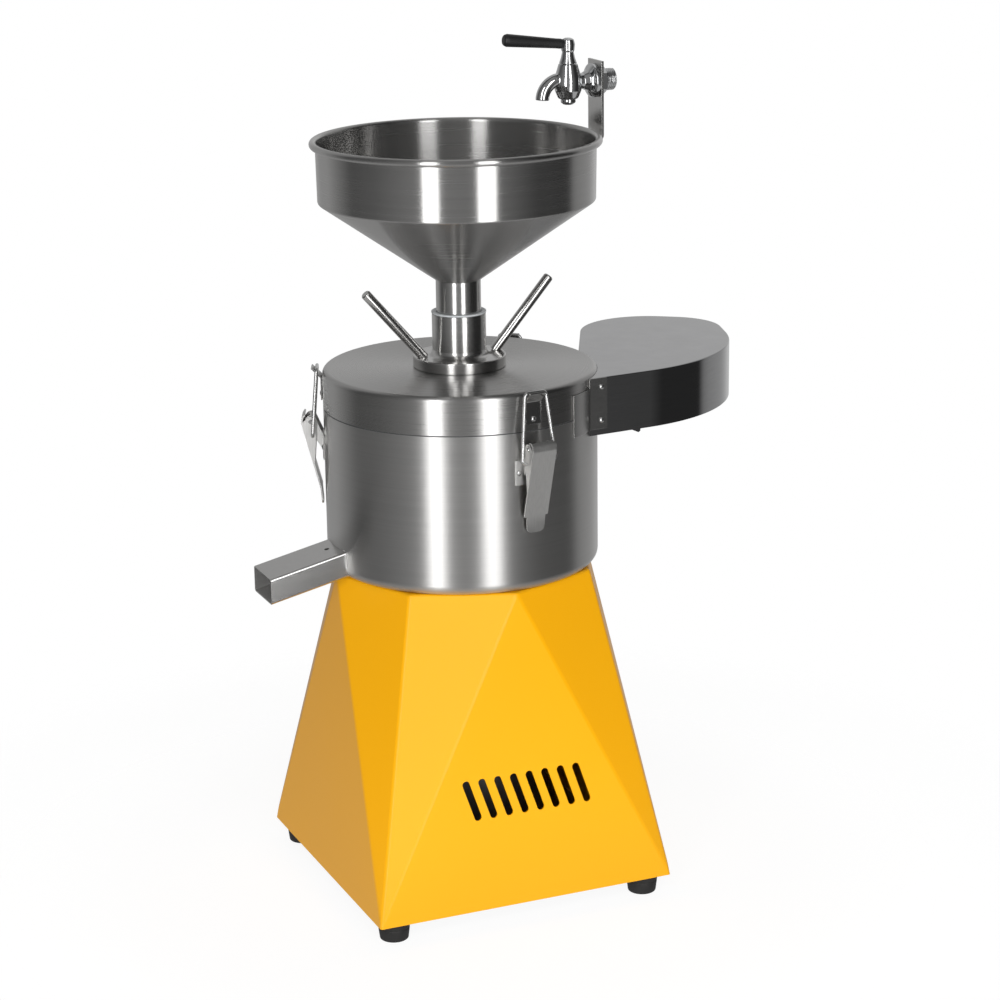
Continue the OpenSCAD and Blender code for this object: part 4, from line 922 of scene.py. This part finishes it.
# The keepers' steel is given a darker tone than the latch plates' steel. This is painted shade, for the shade
# they sit in under the bails.
shade_darkened_keeper_steel = flat_steel("bent_keeper_steel", dark=0.36, bright=0.46, rough=0.10)
keeper = ease([(0.1, 480), (1.6, 480), (1.6, 501.3, 2), (10.45, 510.35, 0.4), (9.4, 511.4, 0.4),
               (0.1, 502.1, 3)], 0.3)
keepers = shape_piece("keeper_set", gather(*[
    moved(slab(keeper, -8.5, 8.5), at_latch(angle), UPRIGHT) for angle in LATCHES.values()]),
    shade_darkened_keeper_steel, edge=0.35, segments=2)
seat(keepers, "frame", "latch_steel", "keepers")


def set_heads(at):
    """A head on every point of the piece, turned as the point says."""
    spots = at["Shape"]
    head = spots.node("GeometryNodeObjectInfo", {}, {"Object": at["Head"]}, out="Geometry")
    turn = spots.node("GeometryNodeInputNamedAttribute", {"data_type": "FLOAT_VECTOR"}, {"Name": "turn"})
    return spots.node("GeometryNodeInstanceOnPoints", {}, {"Points": spots, "Instance": head, "Rotation": turn})


def stud(name, places, head_shape, finish):
    """Puts a like head at each of several places."""
    piece = path_piece(name, [tuple(place.to_translation() / MM) for place in places], finish)
    turns = piece.data.attributes.new("turn", "FLOAT_VECTOR", "POINT")
    for i, place in enumerate(places):
        turns.data[i].vector = tuple(place.to_euler())
    head = shape_piece("head", head_shape, finish)
    grow(piece, name, {"Head": head}, finish, set_heads)
    settle(piece)
    bpy.data.objects.remove(head)
    return piece


def rivet_places():
    """Where the rivets sit: two on each latch plate, one on each keeper and two on the flange."""
    out = turned("Y", 90)
    for angle in LATCHES.values():
        for y in (-15.4, 15.4):
            round_drum = math.degrees(math.asin(y / DRUM_R))
            yield turned("Z", angle + round_drum) @ shift(DRUM_R + LATCH_SHEET, 0, 436) @ out
        yield at_latch(angle) @ shift(1.6, 0, 485) @ out
    for z in (465.5, 497.5):
        yield HOOD_WALL @ shift(24.9, -1.35, z) @ UPRIGHT


rivet_head = spin(ease(
    [(0, -0.1), (2.6, -0.1), (2.6, 0.25, 0.2), (2.1, 0.95, 0.5), (1.2, 1.2, 0.6), (0, 1.2)], 0), 24)
rivets = stud("rivet_set", list(rivet_places()), rivet_head, bright_wire)
seat(rivets, "frame", "fastener", "rivets")


# Latch levers and bails: a pressed steel lever with folded sides turns on the pin of its plate and pulls a
# bail of bent wire down over the keeper. The lever's end is bent out for the thumb.

LEVER_LEAN, LEVER_LEN, LEVER_HALF = math.radians(-14.3), 66.0, 12.5
LEVER_FRONT = 9.0
LEVER_BACK = LEVER_FRONT - LATCH_SHEET
BAIL_OUT, BAIL_Z = 10.5, 446.0


def on_lever(a, b):
    """A place on the lever, out from its pivot and along it, in the latch's frame."""
    c, s = math.cos(LEVER_LEAN), math.sin(LEVER_LEAN)
    return (PIVOT_OUT + a * c - b * s, PIVOT_Z + a * s + b * c)


def bend_wire(at):
    """Wire of one thickness along a line, with its corners bent to a radius."""
    path = at["Shape"].node("GeometryNodeMeshToCurve", {}, {"Mesh": at["Shape"]})
    bent = path.node("GeometryNodeFilletCurve", {"mode": "POLY"}, {
        "Curve": path, "Count": 9, "Radius": at["Bend radius"], "Limit Radius": True})
    ring = path.node("GeometryNodeCurvePrimitiveCircle", {}, {"Resolution": 20, "Radius": at["Wire radius"]})
    return path.node("GeometryNodeCurveToMesh", {}, {"Curve": bent, "Profile Curve": ring, "Fill Caps": True})


front_sheet = [on_lever(a, b) for a, b in (
    [(LEVER_FRONT, -LEVER_LEN)] + arc(0, 0, LEVER_FRONT, 0, 63, 8)
    + arc(0, 0, LEVER_BACK, 63, 0, 8) + [(LEVER_BACK, -LEVER_LEN)])]
side_ends = [(*on_lever(a, b), 0) for a in (LEVER_BACK, LEVER_FRONT) for b in (-0.62 * LEVER_LEN, 0)]
side_sheet = hull_outline([(PIVOT_OUT, PIVOT_Z, 5), (BAIL_OUT, BAIL_Z, 3.6)] + side_ends, 8)
tip_out, tip_z = on_lever(LEVER_BACK, 1 - LEVER_LEN)
tip_turn = shift(tip_out, 0, tip_z) @ Matrix.Rotation(-LEVER_LEAN - math.radians(10), 4, "Y")
tip_sheet = ease([(-10, 0.4, 0), (10, 0.4, 0), (9.0, -17, 5), (-9.0, -17, 5)], 0, 5)
bail_line = [(BAIL_OUT, -10.6, BAIL_Z), (BAIL_OUT, -18, BAIL_Z), (5, -11, 510.5),
             (5, 11, 510.5), (BAIL_OUT, 18, BAIL_Z), (BAIL_OUT, 10.6, BAIL_Z)]
for side, angle in LATCHES.items():
    here = at_latch(angle)
    lever = shape_piece("lever_%s_sheet" % side, moved(
        slab(front_sheet, -LEVER_HALF, LEVER_HALF), here, UPRIGHT), latch_steel)
    for y in (-LEVER_HALF, LEVER_HALF - LATCH_SHEET):
        cut_away(lever, moved(slab(side_sheet, y, y + LATCH_SHEET), here, UPRIGHT), "UNION")
    cut_away(lever, moved(slab(tip_sheet, 0, LATCH_SHEET), here, tip_turn, SIDEWAYS), "UNION")
    soften(lever, 0.45, 3, 35)
    seat(lever, "lever_%s_body" % side, "latch_steel", "lever_%s" % side)
    bail_path = [tuple(here @ Vector([c * MM for c in spot]) / MM) for spot in bail_line]
    bail = path_piece("bail_%s_wire" % side, bail_path, bright_wire)
    grow(bail, "bail wire", {"Bend radius": 0.0045, "Wire radius": 0.0016}, bright_wire, bend_wire)
    settle(bail).data.shade_smooth()
    crease(bail, 40)
    seat(bail, "bail_%s_body" % side, "latch_wire", "bail_%s" % side)


# Adjuster: a turned steel nut with a round flange and a neck, held captive in the lid. Its thread raises and
# lowers the upper stone, and two rods screwed into the flange turn it by hand.

turned_steel = spun_steel("turned_adjuster_steel", dark=0.52, bright=0.66, rough=0.14, spread=0.1, drawn=0.6)
nut = shape_piece("adjuster_nut_body", spin(
    ease([(32, 482.3), (38, 482.3), (38, 510.3, 0), (44, 510.3, 0.3), (44, 521, 1.6)], 0.2, 5)[:-6]
    + [(44, 519.4), (43.8, 520.2), (43.2, 520.8), (42.4, 521)] + arc(31.5, 527, 6, 270, 180, 10)
    + [(25.5, 560.6), (25.1, 561), (21.5, 561), (21.5, 524.2), (18.5, 524.2), (18.5, 520), (32, 520)], 160),
    turned_steel)
firm(nut, 24)
seat(nut, "adjuster", "turned_steel", "adjusting_nut")

chrome, feed, place = open_finish("bright_chrome")
ripple = noise(place, 130.0, 2.0)
film = noise(place, 30.0, 3.0)
close_finish(feed, {
    "Base Color": blend(feed, film, (0.66, 0.665, 0.67, 1), (0.74, 0.745, 0.75, 1)),
    "Metallic": 1.0,
    "Roughness": 0.05 + 0.07 * film,
    "Normal": relief(ripple, 0.00012, 0.3)})

rod_steel, feed, place = open_finish("ground_rod_steel")
haze = noise(place, 40.0, 3.0)
close_finish(feed, {
    "Base Color": blend(feed, haze, (0.58, 0.575, 0.565, 1), (0.70, 0.693, 0.683, 1)),
    "Metallic": 1.0,
    "Roughness": 0.15 + 0.08 * haze})

rod_shape = ease([(0, -6), (3, -6), (3, -0.6, 0), (4.75, -0.2, 0.3), (4.75, 86.2, 0.5), (3.75, 87.5, 0.5),
                  (0, 87.5)], 0.1, 3)
for side, half_turn in (("right", 0), ("left", 180)):
    rod_at = turned("Z", half_turn) @ shift(36, 0, 521) @ turned("Y", 41)
    rod = shape_piece("adjuster_rod_%s" % side, moved(spin(rod_shape, 48), rod_at), rod_steel)
    seat(rod, "adjuster", "chrome_tap", "rod_%s" % side)

coat(mill, "stone_carrier")
white_plastic = moulded("white_moulded_plastic", (0.44, 0.46, 0.47, 1), (0.52, 0.54, 0.55, 1),
                        cloud=60.0, rough=0.36, spread=0.14, grain=1800.0, depth=0.00005)
collar = shape_piece("neck_collar_ring", spin(ease(
    [(21.5, 561), (25.9, 561), (25.9, 562.5), (21.5, 562.5)], 0.4, 3), 128), white_plastic)
seat(collar, "adjuster", "white_plastic", "neck_seal")


# Hopper: a funnel of brushed stainless sheet with a straight wall, its rim rolled outwards into a bead, and a
# spigot below that drops into the neck of the adjuster. It lifts off for cleaning.

brushed_hopper = spun_steel("brushed_hopper_steel", dark=0.42, bright=0.57, rough=0.19, spread=0.09, drawn=1.0)
hopper = shape_piece("hopper_funnel", spin(
    [(21.2, 592.5)] + ease([(21.2, 592.5), (129.5, 668, 2.5), (130.3, 719.4)], 0, 6)[1:-1]
    + arc(132.5, 722, 3.4, -130.3, 180, 24)
    + [(129.1, 721), (128.3, 669.4), (127.6, 668.2), (19.8, 592.99), (19.8, 592.5)], 256), brushed_hopper)
firm(hopper, 40)
seat(hopper, "hopper", "brushed_hopper", "hopper_bowl")
spigot = shape_piece("hopper_spigot_tube", spin(ease(
    [(19.8, 526), (21.2, 526), (21.2, 592.5), (19.8, 592.5)], 0.2, 2), 128), turned_steel)
seat(spigot, "hopper", "turned_steel", "hopper_spigot")


# Tap bracket: a strip of thick stainless sheet, joggled outwards to clear the rim and welded to the hopper's
# wall. The tap is clamped through a hole near its top.

TAP_Z, BRACKET_X, STEM_X = 769.4, 144.5, 114.5
strip = ease([(130.6, 674), (133.1, 674), (133.1, 707.6, 4), (BRACKET_X, 716.7, 6), (BRACKET_X, 788.4),
              (142, 788.4), (142, 717.7, 4), (130.6, 708.6, 6)], 0.3, 5)
bracket = shape_piece("tap_bracket_strip", moved(slab(strip, -15, 15), UPRIGHT), sheet_steel)
cut_away(bracket, moved(slab(circle_outline(10.55, -TAP_Z), 130, 160), turned("Y", 90)))
soften(bracket, 0.5, 2, 40)
seat(bracket, "hopper", "brushed_sheet", "tap_bracket")


# Tap: a chromed brass bib tap. The body is cast in one piece with its spout and inlet and then plated, its
# threaded tail goes through the bracket under a lock nut, and a tapered plug with a black grip turns in it.

def tube(path, steps=32):
    """A closed round bar along a line in the XZ plane, each place with its own radius in mm."""
    shape = bmesh.new()
    rings = []
    for i, (x, z, r) in enumerate(path):
        ahead = Vector(path[min(i + 1, len(path) - 1)][:2]) - Vector(path[max(i - 1, 0)][:2])
        ahead.normalize()
        turns = [2 * math.pi * k / steps for k in range(steps)]
        rings.append([shape.verts.new(((x - ahead.y * r * math.cos(a)) * MM, r * math.sin(a) * MM,
                                       (z + ahead.x * r * math.cos(a)) * MM)) for a in turns])
    for low, high in zip(rings, rings[1:]):
        for k in range(steps):
            shape.faces.new((low[k], low[(k + 1) % steps], high[(k + 1) % steps], high[k]))
    shape.faces.new(rings[0])
    shape.faces.new(rings[-1])
    bmesh.ops.recalc_face_normals(shape, faces=shape.faces)
    return shape


ALONG_X = shift(BRACKET_X, 0, TAP_Z) @ turned("Y", 90)
AT_STEM = shift(STEM_X, 0, TAP_Z)
spout_line = [(120, 771.9, 8.6), (113, 771.9, 8.8), (106, 771.9, 7.0)] + [
    (x, z, 6.5 - 0.3 * math.sin(math.pi * k / 12)) for k, (x, z) in enumerate(arc(106, 753.9, 18, 90, 180, 12))]
body = shape_piece("tap_body_casting", gather(
    moved(spin([(0, -30), (7.5, -30), (7.5, -15.5), (10, -10.5), (14.2, -8.2), (15.95, -6.8), (15.95, -2.5),
                (0, -2.5)], 64), ALONG_X),
    moved(spin([(0, -15.5), (9, -15.5), (10, -14), (12.5, -8), (13, -2), (12.6, 4), (11, 9.5), (9.8, 13.5),
                (8.8, 17), (0, 17)], 64), AT_STEM),
    tube(spout_line)), chrome)
cast = body.modifiers.new("cast", "REMESH")
cast.mode = "VOXEL"
cast.voxel_size = 0.45 * MM
cast.use_smooth_shade = True
blendin = body.modifiers.new("blends", "SMOOTH")
blendin.factor = 0.5
blendin.iterations = 9
settle(body)
cut_away(body, slab(circle_outline(4.5, 88, 0, 40), 748, 763))
cut_away(body, moved(slab(circle_outline(6.05, 0, 0, 48), -20, 20), AT_STEM))
cut_away(body, moved(slab(circle_outline(5, 0, 0, 40), -24, 4), ALONG_X))
crease(body, 45)
seat(body, "hopper", "chrome_tap", "tap_body")


def wind_thread(at):
    """A ridge wound round the tail."""
    line = at["Shape"].node("GeometryNodeCurveSpiral", {}, {
        "Resolution": 40, "Rotations": at["Turns"], "Height": at["Length"],
        "Start Radius": at["Core radius"], "End Radius": at["Core radius"]})
    ridge = line.node("GeometryNodeCurvePrimitiveCircle", {}, {"Resolution": 4, "Radius": at["Ridge"]})
    wound = line.node("GeometryNodeCurveToMesh", {}, {"Curve": line, "Profile Curve": ridge, "Fill Caps": True})
    return line.node("GeometryNodeTransform", {}, {
        "Geometry": wound, "Rotation": (0, math.pi / 2, 0),
        "Translation": ((BRACKET_X + 5.6) * MM, 0, TAP_Z * MM)})


tail = shape_piece("tap_tail_pipe", moved(spin(ease(
    [(5, -3), (9.85, -3), (9.85, 16.1, 0.6), (5, 16.5, 0.3)], 0, 3), 64), ALONG_X), chrome)
seat(tail, "hopper", "chrome_tap")
thread = path_piece("tap_tail_thread", [(0, 0, 0), (0, 0, 1)], chrome)
grow(thread, "tail thread", {
    "Turns": 5.5, "Core radius": 0.0098, "Length": 0.0099, "Ridge": 0.00062}, chrome, wind_thread)
settle(thread)
seat(thread, "hopper", "chrome_tap")

nut_blank = shape_piece("tap_lock_nut", moved(slab(hexagon(15.25), 0.02, 5), ALONG_X), chrome)
nut_bevels = [(0, -1), (13.4, -1), (13.4, 0), (15.4, 1.1), (15.4, 3.9), (13.4, 5), (13.4, 6), (0, 6)]
cut_away(nut_blank, moved(spin(nut_bevels, 96), ALONG_X), "INTERSECT")
cut_away(nut_blank, moved(slab(circle_outline(10.5, 0, 0, 64), -2, 8), ALONG_X))
soften(nut_blank, 0.2, 2, 35)
seat(nut_blank, "hopper", "chrome_tap", "tap_locknut")

plug = shape_piece("tap_plug_stem", moved(spin(ease(
    [(0, 748.4), (4.5, 748.4, 1.2), (7, 750.4, 0.8), (7, 753.6, 0.3), (6, 753.6), (6, 786.7), (8.4, 786.7, 0.5),
     (6.6, 792, 4), (5.4, 797.4, 1), (6.2, 798.9, 0.6), (6.7, 804.4, 3), (5.6, 808.8, 1.5), (3, 810.2, 2),
     (0, 810.4)], 0, 4), 64), shift(STEM_X, 0, 0)), chrome, sharp=40)
seat(plug, "tap_lever", "chrome_tap", "tap_plug")

GRIP = shift(STEM_X, 0, 804.4) @ turned("Y", -83.6)
grip = shape_piece("tap_grip_handle", moved(spin(ease(
    [(0, 5), (4.4, 5), (4.4, 6.9, 0.4), (4.7, 7.6, 0.5), (4.6, 12, 2), (5.9, 58, 4), (6, 62.6, 1.6),
     (4.6, 65.9, 2.2), (0, 65.9)], 0, 5), 48), GRIP), black_plastic, sharp=40)
seat(grip, "tap_lever", "black_plastic", "tap_grip")


# Studio: a pale floor that fades out into a white room, and a dim grey surround with two tall soft lights in
# front, which the steel mirrors. Three fills only light the paint and the dull pieces.

def rise(value, start, end):
    """0 up to a start, 1 from an end on, and a soft rise between."""
    return value.node("ShaderNodeMapRange", {"interpolation_type": "SMOOTHSTEP"}, {
        "Value": value, "From Min": start, "From Max": end})


floor_paint, feed, place = open_finish("pale_floor")
x, y, z = split(place)
rim = rise(feed.maths("SQRT", x * x + y * y), 0.30, 0.72)
dust = noise(place, 40.0, 3.0)
matt = feed.node("ShaderNodeBsdfDiffuse", {}, {
    "Color": blend(feed, dust, (0.80, 0.80, 0.80, 1), (0.84, 0.84, 0.84, 1))})
glow = feed.node("ShaderNodeEmission", {}, {"Color": (1, 1, 1, 1), "Strength": 1.12})
pale = feed.node("ShaderNodeMixShader", {}, {0: 0.8, 1: matt, 2: glow})
clear = feed.node("ShaderNodeBsdfTransparent")
fade = feed.node("ShaderNodeMixShader", {}, {0: rim, 1: pale, 2: clear})
feed.node("ShaderNodeOutputMaterial", {}, {"Surface": fade})
floor = shape_piece("studio_floor", slab(circle_outline(740, steps=96), -4, -0.05), floor_paint)
floor.visible_glossy = False

VIEW_TURN, VIEW_RISE, VIEW_ROLL = math.radians(-23.08), math.radians(16.03), math.radians(-0.77)
to_camera = Vector((math.sin(VIEW_TURN), -math.cos(VIEW_TURN), 0))
to_right = Vector((math.cos(VIEW_TURN), math.sin(VIEW_TURN), 0))

room = bpy.data.worlds.new("white_room")
room.use_nodes = True
room.node_tree.nodes.clear()
feed = Feed(room.node_tree)
way = feed.node("ShaderNodeTexCoord", out="Generated")
turn = feed.maths("ARCTAN2", along(way, to_right), along(way, to_camera)) / (2 * math.pi) + 0.5
# The grey of the surround, by degrees to the right of the camera's side.
surround = [(-180, 0.5), (-150, 0.37), (-130, 0.42), (-112, 0.26), (-95, 0.09), (-70, 0.12), (-40, 0.23),
            (0, 0.25), (44, 0.15), (58, 0.08), (70, 0.03), (106, 0.03), (112, 0.26), (118, 0.33), (140, 0.40),
            (158, 0.6), (180, 0.5)]
tone = feed.node("ShaderNodeValToRGB", {"stops": [((a + 180) / 360, t) for a, t in surround]}, {"Fac": turn})
below = rise(split(way)[2] * -1.0, 0.36, 0.60)
tone = blend(feed, below, tone, (0.42, 0.42, 0.42, 1))
seen = feed.node("ShaderNodeLightPath", out="Is Camera Ray")
grey = feed.node("ShaderNodeBackground", {}, {"Color": tone, "Strength": 1.0})
white = feed.node("ShaderNodeBackground", {}, {"Color": (1, 1, 1, 1), "Strength": 1.0})
both = feed.node("ShaderNodeMixShader", {}, {0: seen, 1: grey, 2: white})
feed.node("ShaderNodeOutputWorld", {}, {"Surface": both})
bpy.context.scene.world = room

LAMP_TALL, LAMP_AWAY, LAMP_Z = 3.2, 2.6, 1.0
for name, turn_from_view, width, power, mirrored in (
        ("left_softbox", -20.0, 0.55, 26.0, True), ("right_softbox", 25.0, 0.65, 26.0, True),
        ("front_fill", 3.0, 0.8, 40.0, False), ("left_fill", -62.0, 0.55, 0.8, False),
        ("right_fill", 82.0, 0.65, 5.5, False)):
    light = bpy.data.lights.new(name, "AREA")
    light.shape = "RECTANGLE"
    light.size = width
    light.size_y = LAMP_TALL
    light.energy = power
    lamp = stand(name, light)
    side = math.radians(turn_from_view)
    out = to_camera * math.cos(side) + to_right * math.sin(side)
    lamp.location = out * LAMP_AWAY + Vector((0, 0, LAMP_Z))
    lamp.rotation_euler = out.to_track_quat("Z", "Y").to_euler()
    lamp.visible_camera = False
    lamp.visible_glossy = mirrored

back = to_camera * math.cos(VIEW_RISE) + Vector((0, 0, math.sin(VIEW_RISE)))
up = back.cross(to_right)
level = to_right * math.cos(VIEW_ROLL) + up * math.sin(VIEW_ROLL)
upward = up * math.cos(VIEW_ROLL) - to_right * math.sin(VIEW_ROLL)
camera = stand("camera", bpy.data.cameras.new("camera"))
camera.data.sensor_width = 36.0
camera.data.lens = 98.25
camera.matrix_world = shift(-952.8, -2328.9, 1099.2) @ Matrix((level, upward, back)).transposed().to_4x4()
bpy.context.scene.camera = camera
bpy.context.scene.view_settings.view_transform = "Standard"
